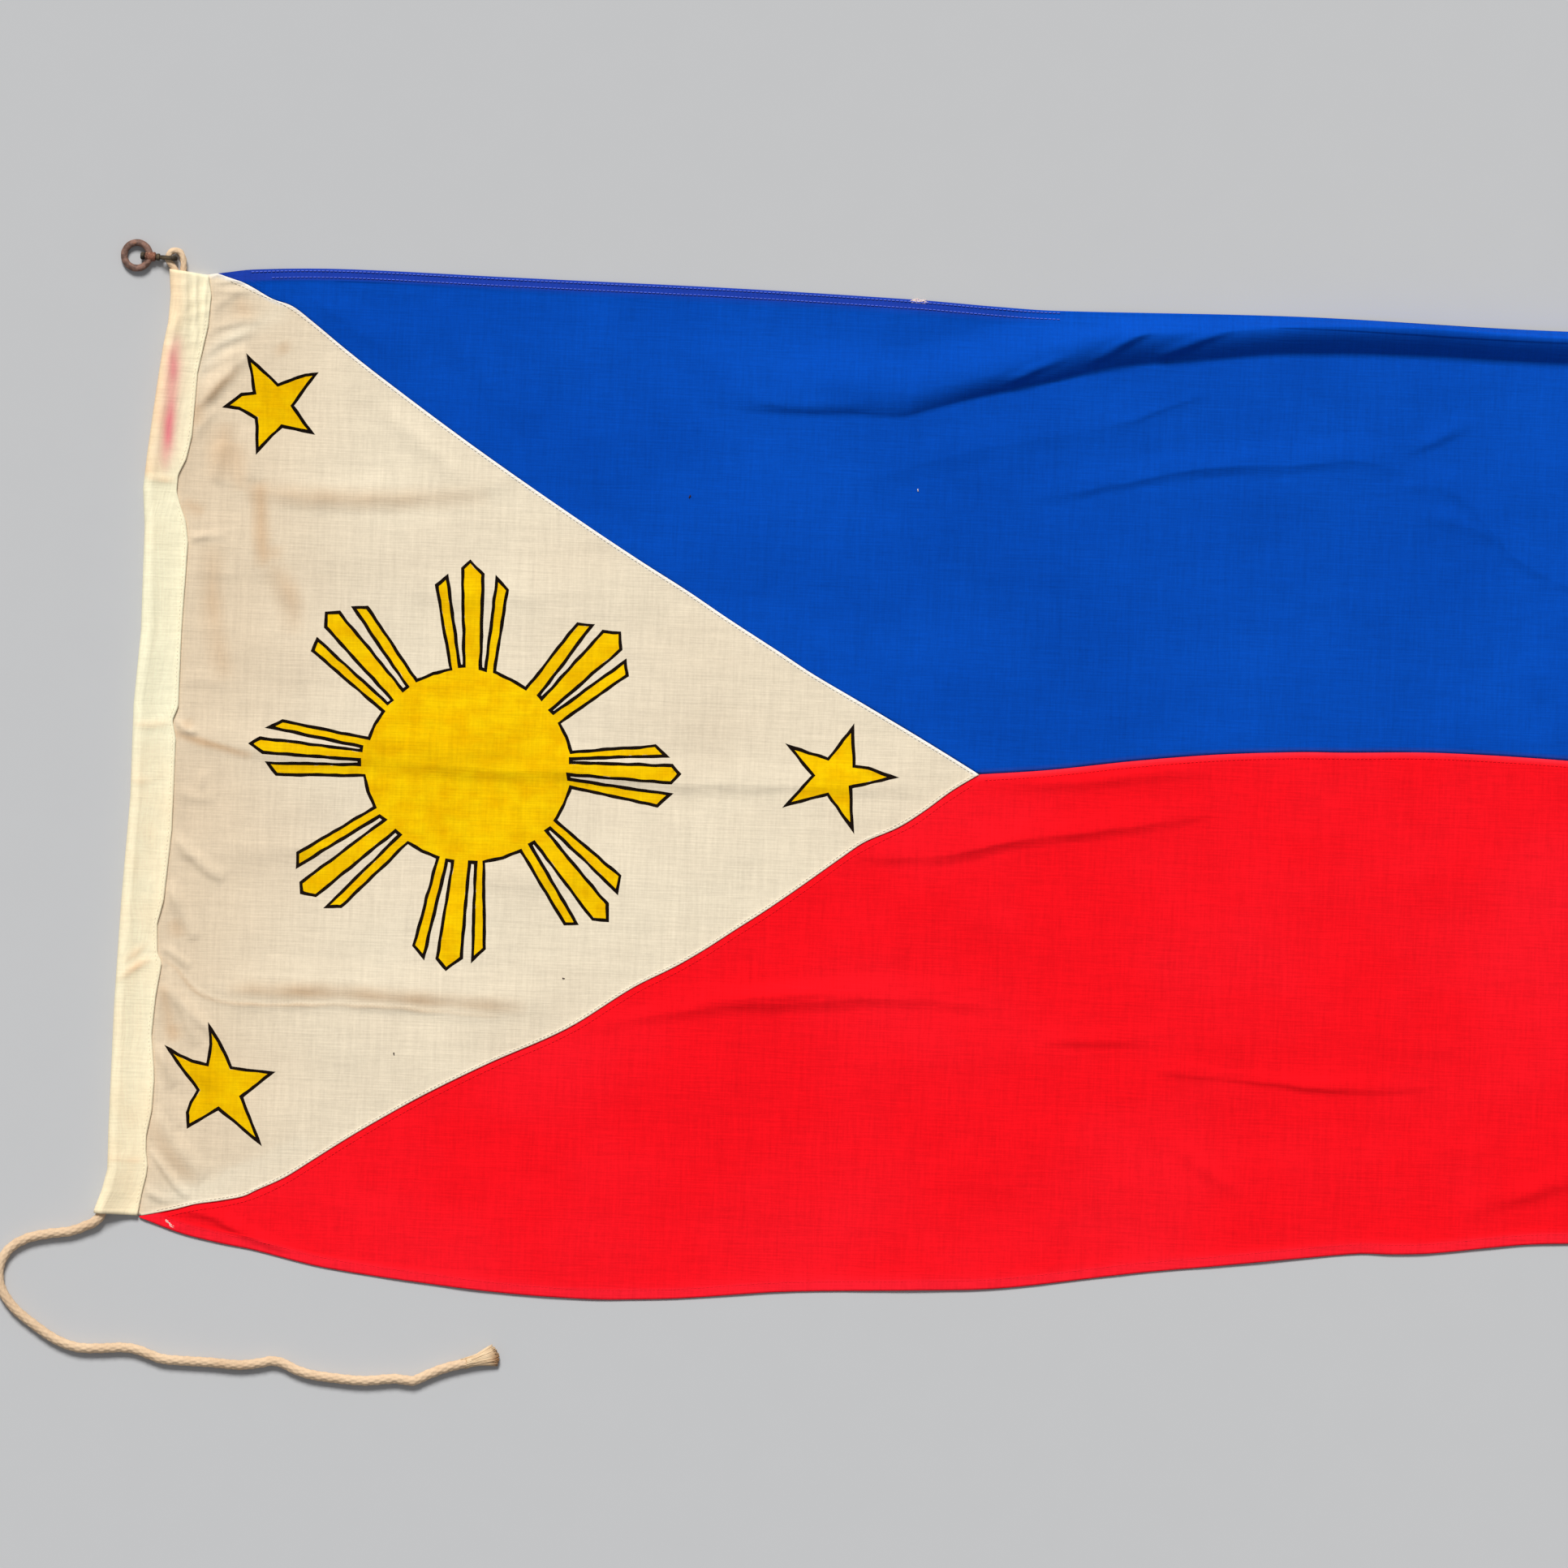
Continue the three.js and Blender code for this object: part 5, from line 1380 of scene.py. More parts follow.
@dataclass(frozen=True)
class Heading:
    """A strip of canvas folded round the hoist rope and sewn over the triangle's edge."""

    foot: float = -0.327
    head: float = 0.359
    stations: int = 280
    flat_cells: int = 18
    wrap_cells: int = 18
    leaves_rope: float = 55.0  # degrees: where the canvas leaves the rope to slope down to the stitching
    slope_width: float = 0.018
    under_cells: int = 6
    thickness: float = 0.0009
    layer_top: float = 0.0038  # face of its upper layer
    channel: float = 0.0052  # half of the wrap round the rope, both ways
    eye_channel: Point = (0.0075, 0.0048)  # half width and half height of the wrap round the eye
    eye_from: float = 0.321
    eye_to: float = 0.332
    slants: Point = (0.001, 0.0035)  # how far the ends drop across the strip, foot and head
    pucker: float = 0.0005
    pucker_cell: Point = (0.013, 0.005)  # size of one pucker, along the fly and up the hoist
    swell: float = 0.0009
    swell_cell: Point = (0.03, 0.045)
    gathered: float = 0.13  # how far down from its head it is drawn together
    end_rise: float = 0.0005
    bleed_line: EdgeLine = EdgeLine(((0.222, -0.6563), (0.262, -0.6545), (0.308, -0.652)))
    bleed_bands: tuple[Point, ...] = ((0.62, 0.0042), (0.14, 0.009))  # strength and width
    bleed_middle: float = 0.262
    bleed_half: float = 0.028  # half of its full length, and the length in which it fades
    bleed_above: float = 0.002  # the under layer, below this height, is clean
    crease_shade: float = 500.0  # painted shade: how strongly a crease is darkened tan for each metre of its height
    shaded_ridges: tuple[int, int] = (3, 9)  # the creases with painted shade run from the first up to the second
    ridges: tuple[Ridge, ...] = (
        Ridge(((-0.6372, 0.3), (-0.6382, 0.33), (-0.6395, 0.362)), 0.0017, 0.002, 0.003),
        Ridge(((-0.6325, 0.314), (-0.6315, 0.338), (-0.6315, 0.362)), 0.0015, 0.0018, 0.0024),
        Ridge(((-0.645, 0.308), (-0.6455, 0.335), (-0.6465, 0.362)), 0.0012, 0.0022, 0.003),
        Ridge(((-0.67, 0.206), (-0.66, 0.205), (-0.648, 0.2052)), 0.001, 0.003, 0.006),
        Ridge(((-0.674, 0.028), (-0.66, 0.027), (-0.645, 0.03)), 0.0008, 0.004, 0.007),
        Ridge(((-0.6755, -0.012), (-0.664, -0.014), (-0.65, -0.008)), 0.0006, 0.004, 0.008),
        Ridge(((-0.679, -0.16), (-0.665, -0.148), (-0.654, -0.142)), 0.001, 0.0035, 0.006),
        Ridge(((-0.675, -0.145), (-0.665, -0.138), (-0.656, -0.13)), 0.0006, 0.003, 0.006),
        Ridge(((-0.683, -0.288), (-0.67, -0.2885), (-0.654, -0.288)), 0.0008, 0.0025, 0.005),
        Ridge(((-0.662, 0.15), (-0.6625, 0.1), (-0.664, 0.04)), 0.0005, 0.003, 0.005),
        Ridge(((-0.67, -0.05), (-0.671, -0.1), (-0.67, -0.14)), 0.0006, 0.003, 0.005),
    )

    def sections(self) -> tuple[Array, Array]:
        """Places of the strip's face and of the flat canvas.

        Returns:
            Two arrays with one row for each station and one column for each point of its section.
        """
        y = np.linspace(self.foot, self.head, self.stations + 1)[:, None]
        rise = (y - self.foot) / (self.head - self.foot)
        slant = self.slants[0] + rise * (self.slants[1] - self.slants[0])
        outer = HEADING_OUTER.at(y)
        width = HEADING_INNER.at(y - slant) - outer
        to_eye = 1 - soft_fall((y - self.eye_from) / (self.eye_to - self.eye_from))
        half_width = self.channel + to_eye * (self.eye_channel[0] - self.channel)
        half_height = self.channel + to_eye * (self.eye_channel[1] - self.channel)

        under = np.linspace(1, 0, self.under_cells + 1)[None, :-1]
        under_across = half_width + under * (width - half_width)
        angle = np.radians(np.linspace(270, self.leaves_rope, self.wrap_cells + 1))[None, :]
        wrap_across = half_width * (1 + np.cos(angle))
        wrap_z = half_height * (1 + np.sin(angle))
        over = np.linspace(0, 1, self.flat_cells + 1)[None, 1:]
        over_across = wrap_across[:, -1:] + over * (width - wrap_across[:, -1:])
        slope = np.clip(1 - (over_across - wrap_across[:, -1:]) / self.slope_width, 0, 1) ** 1.5
        over_z = self.layer_top + slope * (wrap_z[:, -1:] - self.layer_top)
        across = np.hstack([under_across, wrap_across, over_across])
        z = np.hstack([under_across * 0, wrap_z, over_z])
        x = outer + across
        y = y - slant * across / width
        girth = np.cumsum(np.hypot(np.diff(across, axis=1, prepend=across[:, :1]),
                                   np.diff(z, axis=1, prepend=z[:, :1])), axis=1)
        z = z + np.clip((z - 0.002) / 0.0018, 0, 1) * self.wrinkles(x.ravel(), y.ravel()).reshape(z.shape)
        return np.stack([x, y, z], axis=2), np.stack([girth, y], axis=2)

    def wrinkles(self, x: Array, y: Array) -> Array:
        """Height that the canvas's puckers add."""
        fine = self.pucker * rolling_noise(x / self.pucker_cell[0], y / self.pucker_cell[1], 71)
        broad = self.swell * rolling_noise(x / self.swell_cell[0], y / self.swell_cell[1], 72)
        gathered = 0.5 + 1.5 * soft_fall((self.head - y) / self.gathered)
        ends = self.end_rise * (soft_fall((y - self.foot) / 0.008) + soft_fall((self.head - y) / 0.01))
        return fine * gathered + broad + ends + sum(ridge.heights(x, y) for ridge in self.ridges)

    def ink_bleed(self, x: Array, y: Array) -> Array:
        """How strongly old red ink has bled into the canvas."""
        off_line = x - self.bleed_line.at(y)
        across = sum(strength * np.exp(-((off_line / width) ** 2)) for strength, width in self.bleed_bands)
        along = soft_fall((np.abs(y - self.bleed_middle) - self.bleed_half) / self.bleed_half)
        blots = np.clip(0.85 + 0.5 * rolling_noise(x / 0.012, y / 0.016, 81), 0, 1)
        return across * along * blots

    def tan_and_shade(self, x: Array, y: Array) -> Array:
        """How strongly the canvas is tinted tan: at its head beside the rope and in its lower half, and as
        painted shade on its creases.
        """
        upper, lower = soft_fall((0.212 - y) / 0.007), soft_fall((y + 0.01) / 0.05)
        beside_rope = soft_fall((x - HEADING_OUTER.at(y)) / 0.02)
        tan_and_shade_level = upper * (0.1 + 0.6 * beside_rope) + 0.26 * lower
        # painted shade on the creases
        for crease in self.ridges[slice(*self.shaded_ridges)]:
            tan_and_shade_level = tan_and_shade_level + self.crease_shade * crease.heights(x, y)
        return np.clip(tan_and_shade_level * (0.85 + 0.6 * rolling_noise(x / 0.012, y / 0.02, 82)), 0, 1)

    def build(self) -> bpy.types.Object:
        """Builds the strip and marks where it is tinted tan, where its creases carry painted shade and where
        it is stained.
        """
        places, flat = self.sections()
        count = places.shape[1] - 1

        def place(across: Array, along: Array) -> tuple[Array, Array]:
            """Looks the grid points up in the sections."""
            row = np.rint(along * self.stations).astype(int)
            column = np.rint(across * count).astype(int)
            return places[row, column], flat[row, column]

        strip = laid_grid("heading_cloth", (count, self.stations), place)
        x, y, z = point_places(strip).T
        mark_points(strip, STAIN_AND_SHADING_MARK, self.ink_bleed(x, y) * (z > self.bleed_above))
        mark_points(strip, HEM_TAN_AND_SHADING_MARK, self.tan_and_shade(x, y))
        strip.data.materials.append(HEADING_CANVAS.make())
        thicken(strip, self.thickness)
        add_piece(strip, Slot.CANVAS, "heading")
        return strip


# ---- ropes -----------------------------------------------------------------------------------------


@dataclass(frozen=True)
class PlaitedCord:
    """A plaited cotton cord along a route."""

    radius: float
    strands: int = 7
    lay: float = 0.0085  # length of one strand's turn
    relief: float = 0.13
    sides: int = 36
    step: float = 0.0008

    def surface(self, path: Array) -> Placer:
        """How the cord's skin lies round a path.

        Args:
            path: Evenly spaced points along its middle.

        Returns:
            The placer for a grid that goes round and along.
        """
        ahead = np.gradient(path, axis=0)
        ahead /= np.linalg.norm(ahead, axis=1)[:, None]
        side = np.cross(ahead, (0.0, 0.0, 1.0))
        side /= np.linalg.norm(side, axis=1)[:, None]
        up = np.cross(side, ahead)
        length = path_length(path)

        def place(around: Array, along: Array) -> tuple[Array, Array]:
            """Places the skin, raised where a strand passes over."""
            ring = np.rint(along * (len(path) - 1)).astype(int)
            turn = (2 * math.pi * around)[:, None]
            pitch = 2 * math.pi * along * length / self.lay
            angle = self.strands * turn[:, 0]
            over = np.abs(np.cos((angle + pitch) / 2) * np.cos((angle - pitch) / 2))
            reach = (self.radius * (1 - self.relief + self.relief * over))[:, None]
            places = path[ring] + reach * (np.cos(turn) * side[ring] + np.sin(turn) * up[ring])
            flat = np.stack([around * 2 * math.pi * self.radius, along * length], axis=1)
            return places, flat

        return place

    def build(self, name: str, points: Sequence[Point3]) -> tuple[bpy.types.Object, Array]:
        """Builds the cord.

        Args:
            name: The piece's name.
            points: The route, listed point by point.

        Returns:
            The cord and the path of its middle.
        """
        path = smooth_path(points, self.step)
        cord = laid_grid(name, (self.sides, len(path) - 1), self.surface(path), closed=True)
        cord.data.materials.append(COTTON_ROPE.make())
        return cord, path


@dataclass(frozen=True)
class FrayedTuft:
    """The tail's end, unlaid into a flat brush of yarn."""

    start: Point = (-0.4156, -0.42627)
    ahead: Point = (0.953, 0.302)
    middle: float = 0.00375
    length: float = 0.0235
    half_widths: EdgeLine = EdgeLine((
        (0.0, 0.0036), (0.006, 0.0039), (0.013, 0.0056), (0.019, 0.0073), (0.025, 0.008),
    ))
    half_heights: EdgeLine = EdgeLine((
        (0.0, 0.0036), (0.006, 0.0036), (0.013, 0.0034), (0.019, 0.0029), (0.025, 0.0022),
    ))
    yarns: int = 170
    yarn_radius: float = 0.00036
    waviness: float = 0.00025
    core_length: float = 0.9  # as a share of the brush
    core_cells: tuple[int, int] = (104, 30)
    grooves: int = 26  # round the core
    groove_middle: float = 0.93  # the core's size, as a share of the brush
    groove_depth: float = 0.05
    end_curve: float = 0.13  # how much shorter its outermost yarns are
    browned_from: float = 0.014

    def frame_place(self, along: Array, across: Array, z: Array) -> Array:
        """Places in the frame, from places along and across the brush."""
        (dx, dy), (x, y) = self.ahead, self.start
        return np.stack([x + dx * along - dy * across, y + dy * along + dx * across, z], axis=-1)

    def core(self) -> bpy.types.Object:
        """The close-packed yarn inside the brush."""
        def place(around: Array, along: Array) -> tuple[Array, Array]:
            """Places the core's skin, grooved along its length."""
            turn = 2 * math.pi * around
            reach = along * self.length * self.core_length * (1 - self.end_curve * np.cos(turn) ** 2)
            groove = self.groove_middle + self.groove_depth * np.cos(self.grooves * turn + 5 * along)
            across = self.half_widths.at(reach) * np.cos(turn) * groove
            height = self.half_heights.at(reach)
            z = height + self.middle - self.half_heights.at(0.0) + height * np.sin(turn) * groove
            return self.frame_place(reach, across, z), np.stack([turn * 0.004, reach], axis=1)

        return laid_grid("tuft_core", self.core_cells, place, closed=True)

    def yarn(self, number: int, rng: np.random.Generator) -> bpy.types.Object:
        """One loose yarn, from inside the brush to a little past its end."""
        sideways, lift = rng.uniform(-0.98, 0.98), rng.uniform(-0.75, 0.95)
        start = rng.uniform(-0.004, 0.006)
        end = self.length * rng.uniform(0.92, 1.02) * (1 - self.end_curve * sideways**2)
        drift = rng.normal(0, 0.0004, 2)
        wave = rng.uniform(0, 2 * math.pi)
        along = np.linspace(start, end, 8)
        share = (along - start) / (end - start)
        across = sideways * self.half_widths.at(along) + drift[0] * share**2
        across = across + self.waviness * np.sin(wave + 5 * share)
        height = self.half_heights.at(along)
        round_top = math.sqrt(max(1 - sideways**2, 0.05))
        z = self.middle - self.half_heights.at(0.0) + height * (1 + lift * round_top) + drift[1] * share**2
        path = self.frame_place(along, across, np.maximum(z, self.yarn_radius * 1.1))
        skin = PlaitedCord(self.yarn_radius, relief=0.0).surface(path)
        return laid_grid(f"yarn_{number}", (5, 7), skin, closed=True)

    def build(self) -> bpy.types.Object:
        """Builds the brush as one piece."""
        rng = np.random.default_rng(12)
        pieces = [self.core()] + [self.yarn(number, rng) for number in range(self.yarns)]
        tuft = join(pieces, "frayed_tuft")
        x, y, _ = (point_places(tuft) - np.array((*self.start, 0.0))).T
        along = x * self.ahead[0] + y * self.ahead[1]
        across = y * self.ahead[0] - x * self.ahead[1]
        end = soft_fall((self.length - along) / (self.length - self.browned_from))
        mark_points(tuft, STAIN_AND_SHADING_MARK, end * np.clip(0.75 - across / 0.012, 0.1, 1))
        tuft.data.materials.append(FRAYED_YARN.make())
        return add_piece(tuft, Slot.ROPE, "frayed_end")


def join(pieces: Sequence[bpy.types.Object], name: str) -> bpy.types.Object:
    """Joins objects into the first of them and renames it."""
    with bpy.context.temp_override(active_object=pieces[0], selected_editable_objects=list(pieces)):
        bpy.ops.object.join()
    pieces[0].name = name
    pieces[0].data.name = name
    return pieces[0]


@dataclass(frozen=True)
class Rigging:
    """The rope: sewn into the heading, ending in an eye above and a loose tail below."""

    heading: Heading
    rope: PlaitedCord = PlaitedCord(0.0037)
    eye_cord: PlaitedCord = PlaitedCord(0.00245, strands=4, lay=0.006, sides=26, step=0.0007, relief=0.16)
    eye_route: tuple[Point3, ...] = (
        (-0.6531, 0.333, 0.0047), (-0.6528, 0.341, 0.0047), (-0.6536, 0.35, 0.0047),
        (-0.6545, 0.358, 0.0047), (-0.657, 0.3615, 0.0049), (-0.6596, 0.3644, 0.0052),
        (-0.6602, 0.3676, 0.00528), (-0.6586, 0.371, 0.0052), (-0.6546, 0.3726, 0.0049),
        (-0.651, 0.3706, 0.0047), (-0.6492, 0.3663, 0.0046), (-0.6488, 0.362, 0.0046),
        (-0.6489, 0.357, 0.0047), (-0.6482, 0.35, 0.0047), (-0.6474, 0.341, 0.0047),
        (-0.6478, 0.333, 0.0047),
    )
    tail_start: tuple[Point3, ...] = (
        (-0.6848, -0.3257, 0.0052), (-0.6854, -0.3294, 0.0051), (-0.689, -0.3334, 0.0048),
        (-0.6954, -0.3366, 0.0042),
    )
    tail_lies: float = 0.00375  # height of its middle on the floor
    tail_on_floor: tuple[Point, ...] = (
        (-0.706, -0.3408), (-0.7236, -0.3436), (-0.738, -0.3474), (-0.7503, -0.3554), (-0.7568, -0.3675),
        (-0.756, -0.382), (-0.7465, -0.3968), (-0.732, -0.4086), (-0.714, -0.42), (-0.6985, -0.425),
        (-0.682, -0.4251), (-0.666, -0.424), (-0.656, -0.425), (-0.6464, -0.4282), (-0.637, -0.4312),
        (-0.624, -0.432), (-0.602, -0.4326), (-0.58, -0.4337), (-0.567, -0.432), (-0.5566, -0.43),
        (-0.5485, -0.4316), (-0.541, -0.4352), (-0.53, -0.4386), (-0.512, -0.4408), (-0.49, -0.442),
        (-0.467, -0.4398), (-0.4595, -0.4406), (-0.4535, -0.4406), (-0.446, -0.437), (-0.432, -0.431),
        (-0.416, -0.4264),
    )

    def build_tail(self) -> bpy.types.Object:
        tuft = FrayedTuft().build()
        route = [*self.tail_start, *((x, y, self.tail_lies) for x, y in self.tail_on_floor)]
        tail, path = self.rope.build("tail_cord", route)
        add_piece(tail, Slot.ROPE, "rope_tail")
        return tail

    def build_hoist_rope(self) -> bpy.types.Object:
        """Builds the rope inside the heading, from the tail up to the eye."""
        channel = self.heading.channel
        heights = np.linspace(self.heading.foot, 0.32, 40)
        route = [(float(HEADING_OUTER.at(y)) + channel, float(y), channel) for y in heights]
        rope, _ = self.rope.build("hoist_cord", route)
        return add_piece(rope, Slot.ROPE, "hoist_rope")

    def build_eye(self) -> bpy.types.Object:
        """Builds the eye that comes out of the heading and through the swivel's bow."""
        eye, _ = self.eye_cord.build("eye_cord", self.eye_route)
        return add_piece(eye, Slot.ROPE, "rope_eye")


# ---- the swivel ring --------------------------------------------------------------------------------


@dataclass(frozen=True)
class SwivelRing:
    """A forged ring with a boss, and the swivel pin and bow that turn in it."""

    centre: Point = (-0.683, 0.3681)
    pitch: float = 0.00925
    wire: float = 0.0025
    tilt: float = math.radians(-5)
    turn: float = math.radians(-3)
    boss: tuple[Point, ...] = (
        (0.0062, 0.0016), (0.0062, 0.0026), (0.0072, 0.0034), (0.0131, 0.0034), (0.0139, 0.0027),
        (0.0139, 0.0016),
    )
    spindle: tuple[Point, ...] = (
        (0.0028, 0.0), (0.0028, 0.002), (0.0034, 0.0027), (0.0052, 0.0027), (0.0057, 0.0022),
        (0.0057, 0.0013), (0.0143, 0.0013), (0.0143, 0.002), (0.0148, 0.0026), (0.0166, 0.0026),
        (0.017, 0.002), (0.017, 0.0),
    )
    wear: float = 0.014  # how uneven the ring is, as a share of its size
    worn_cells: float = 260.0  # patches of wear in a metre
    bow_centre: float = 0.0232
    bow_size: Point = (0.0134, 0.01)
    bow_wire: Point = (0.0011, 0.0015)  # half across the bow's plane and half through it

    def placed(self) -> Matrix:
        """Where the ring lies: flat, with its swivel end held up."""
        lift = self.wire + self.pitch * math.sin(-self.tilt)
        return (
            Matrix.Translation((*self.centre, lift))
            @ Matrix.Rotation(self.turn, 4, "Z")
            @ Matrix.Rotation(self.tilt, 4, "Y")
        )

    def turned(self, bm: bmesh.types.BMesh, profile: Sequence[Point], closed: bool) -> None:
        """Adds a round part turned about the pin's axis.

        Args:
            bm: The mesh that it is added to.
            profile: Its half section, as place along the axis and radius.
            closed: True if the section closes on itself, clear of the axis.
        """
        verts = [bm.verts.new((x, 0, radius)) for x, radius in profile]
        pairs = list(zip(verts, verts[1:])) + ([(verts[-1], verts[0])] if closed else [])
        edges = [bm.edges.new(pair) for pair in pairs]
        bmesh.ops.spin(
            bm, geom=verts + edges, cent=(0, 0, 0), axis=(1, 0, 0), angle=2 * math.pi,
            steps=40, use_merge=True)

    def finished(self, name: str, bm: bmesh.types.BMesh, finishes: Sequence[RustFinish],
                 node: str) -> bpy.types.Object:
        """Closes a part's mesh, puts it in its place and dresses it."""
        bmesh.ops.remove_doubles(bm, verts=bm.verts, dist=WELD)
        bmesh.ops.recalc_face_normals(bm, faces=bm.faces)
        bmesh.ops.transform(bm, matrix=self.placed(), verts=bm.verts)
        part = add_object(name, bm)
        part.data.set_sharp_from_angle(angle=math.radians(50))
        for finish in finishes:
            part.data.materials.append(finish.make())
        return add_piece(part, Slot.IRON, node)

    def build_ring(self) -> bpy.types.Object:
        """Builds the ring and its boss."""
        bm = bmesh.new()
        made = bmesh.ops.create_circle(bm, segments=20, radius=self.wire)["verts"]
        bmesh.ops.rotate(bm, verts=made, cent=(0, 0, 0), matrix=Matrix.Rotation(math.pi / 2, 3, "X"))
        bmesh.ops.translate(bm, verts=made, vec=(self.pitch, 0, 0))
        bmesh.ops.spin(
            bm, geom=bm.verts[:] + bm.edges[:], cent=(0, 0, 0), axis=(0, 0, 1), angle=2 * math.pi,
            steps=72, use_merge=True)
        for vert in bm.verts:
            x, y = (np.array([value * self.worn_cells + 9]) for value in vert.co.xy)
            vert.co *= 1 + self.wear * float(rolling_noise(x, y, 31)[0])
        ring_faces = set(bm.faces)
        self.turned(bm, self.boss, closed=True)
        for face in bm.faces:
            face.material_index = 0 if face in ring_faces else 1
        return self.finished("iron_ring", bm, (RUSTY_IRON, BOSS_IRON), "clip_ring")

    def build_swivel(self) -> bpy.types.Object:
        """Builds the pin and the upright bow that holds the rope's eye."""
        bm = bmesh.new()
        self.turned(bm, self.spindle, closed=False)
        half_wire, half_depth = self.bow_wire
        radius = self.bow_size[1] / 2 - half_wire
        straight = self.bow_size[0] / 2 - self.bow_size[1] / 2
        spine = [
            Vector((self.bow_centre + end * straight + radius * math.cos(a), 0, radius * math.sin(a)))
            for end, first in ((1, -90), (-1, 90)) for a in np.radians(np.linspace(first, first + 180, 13))
        ]
        rings = []
        for i, point in enumerate(spine):
            ahead = (spine[(i + 1) % len(spine)] - spine[i - 1]).normalized()
            out = ahead.cross(Vector((0, 1, 0)))
            made = bmesh.ops.create_circle(bm, segments=16, radius=1.0)["verts"]
            for vert in made:
                u, v = vert.co.xy
                vert.co = point + out * (u * half_wire) + Vector((0, v * half_depth, 0))
            rings.append(made)
        for ring, following in zip(rings, rings[1:] + rings[:1]):
            edges = {edge for vert in ring + following for edge in vert.link_edges
                     if all(end in ring for end in edge.verts) or all(end in following for end in edge.verts)}
            bmesh.ops.bridge_loops(bm, edges=list(edges))
        return self.finished("iron_swivel", bm, (DARK_IRON,), "swivel")


# ---- stitching ----------------------------------------------------------------------------------------


@dataclass(frozen=True)
class StitchRow:
    """One row of machine stitches."""

    route: tuple[Point, ...]
    length: float = 0.0023
    pitch: float = 0.003
    width: float = 0.00045

    def places(self) -> tuple[Array, Array]:
        """Middles of the stitches and their directions, seen from above."""
        path = smooth_path(self.route, self.pitch)
        return (path[1:] + path[:-1]) / 2, (path[1:] - path[:-1]) / self.pitch


@dataclass(frozen=True)
class Stitching:
    """Every row sewn in one thread, as one joined piece."""

    name: str
    thread: ThreadFinish
    slot: Slot
    surface: Callable[[Array, Array], Array]
    rows: tuple[StitchRow, ...]
    sink: float = 0.00012
    bead: tuple[Point, ...] = ((-0.5, 0.0), (-0.3, 0.9), (0.3, 0.9), (0.5, 0.0))  # along, radius

    def build_row(self, row: StitchRow) -> bpy.types.Object:
        """Builds one row: a thin tube that closes between one stitch and the next."""
        middles, ahead = row.places()
        rings = len(self.bead)
        lengths = np.array([length for length, _ in self.bead]) * row.length
        radii = np.array([radius for _, radius in self.bead]) * row.width / 2

        def place(around: Array, along: Array) -> tuple[Array, Array]:
            """Places the beads' skin on the cloth."""
            ring = np.rint(along * (rings * len(middles) - 1)).astype(int)
            stitch, part = ring // rings, ring % rings
            turn = 2 * math.pi * around
            side = np.stack([-ahead[stitch, 1], ahead[stitch, 0]], axis=1)
            spine = middles[stitch] + ahead[stitch] * lengths[part][:, None]
            height = self.surface(spine[:, 0], spine[:, 1]) + row.width / 2 - self.sink
            spread = spine + side * (radii[part] * np.cos(turn))[:, None]
            places = np.stack([spread[:, 0], spread[:, 1], height + radii[part] * np.sin(turn)], axis=1)
            return places, spread

        return laid_grid(f"{self.name}_row", (5, rings * len(middles) - 1), place, closed=True)

    def build(self) -> bpy.types.Object:
        """Builds every row.

        Returns:
            The finished piece.
        """
        stitches = join([self.build_row(row) for row in self.rows], self.name)
        stitches.data.materials.append(self.thread.make())
        return add_piece(stitches, self.slot)


def beside(line: EdgeLine, start: float, end: float, offset: float) -> tuple[Point, ...]:
    """A route beside an edge line.

    Args:
        line: The edge.
        start: Where along the fly the route starts.
        end: Where it ends.
        offset: How far above the edge it runs, or below it if negative.

    Returns:
        Points of the route.
    """
    x = np.linspace(start, end, max(int(abs(end - start) / 0.02), 3))
    slope = (line.at(x + 0.002) - line.at(x - 0.002)) / 0.004
    y = line.at(x) + offset * np.sqrt(1 + slope**2)
    return tuple(zip(x.tolist(), y.tolist()))


@dataclass(frozen=True)
class LooseThreads:
    """Wisps of pale thread at two worn places on the hems, and a few specks of lint."""

    lie: ClothLie
    wisps: tuple[tuple[Point, Point, int], ...] = (  # from, to, threads
        ((-0.6372, -0.3305), (-0.633, -0.3352), 3),
        ((-0.119, 0.3546), (-0.1098, 0.3541), 7),
        ((-0.1108, 0.2185), (-0.1108, 0.2168), 2),
    )
    lint: tuple[tuple[Point, Point, int], ...] = (
        ((-0.2761, 0.2082), (-0.2763, 0.2064), 2),
        ((-0.4768, -0.2034), (-0.4764, -0.205), 2),
        ((-0.356, -0.145), (-0.3548, -0.1455), 1),
    )
    radius: float = 0.0003
    proud: float = 0.0004
    knots: int = 5
    stray: float = 0.1  # of its knots, as a share of its length
    least_stray: float = 0.0001
    step: float = 0.0006
    ripple: float = 0.0002

    def thread(self, start: Point, end: Point, rng: np.random.Generator) -> bpy.types.Object:
        """One thread that wanders from start to end on the cloth."""
        length = math.hypot(end[0] - start[0], end[1] - start[1])
        strays = rng.normal(0, self.stray * length + self.least_stray, (self.knots, 2))
        path = smooth_path(np.linspace(start, end, self.knots) + strays, self.step)
        height = self.lie.heights(*path.T) + self.proud + self.ripple * np.sin(np.arange(len(path)))
        skin = PlaitedCord(self.radius, relief=0.0).surface(np.column_stack([path, height]))
        return laid_grid("thread", (6, len(path) - 1), skin, closed=True)

    def build(self) -> None:
        """Builds the wisps and the lint, one piece each."""
        rng = np.random.default_rng(33)
        for name, bits, finish in (("pale_wisps", self.wisps, LOOSE_THREAD), ("lint", self.lint, DARK_LINT)):
            threads = [self.thread(start, end, rng) for start, end, count in bits for _ in range(count)]
            piece = join(threads, name)
            piece.data.materials.append(finish.make())
            add_piece(piece, Slot.UNDYED)


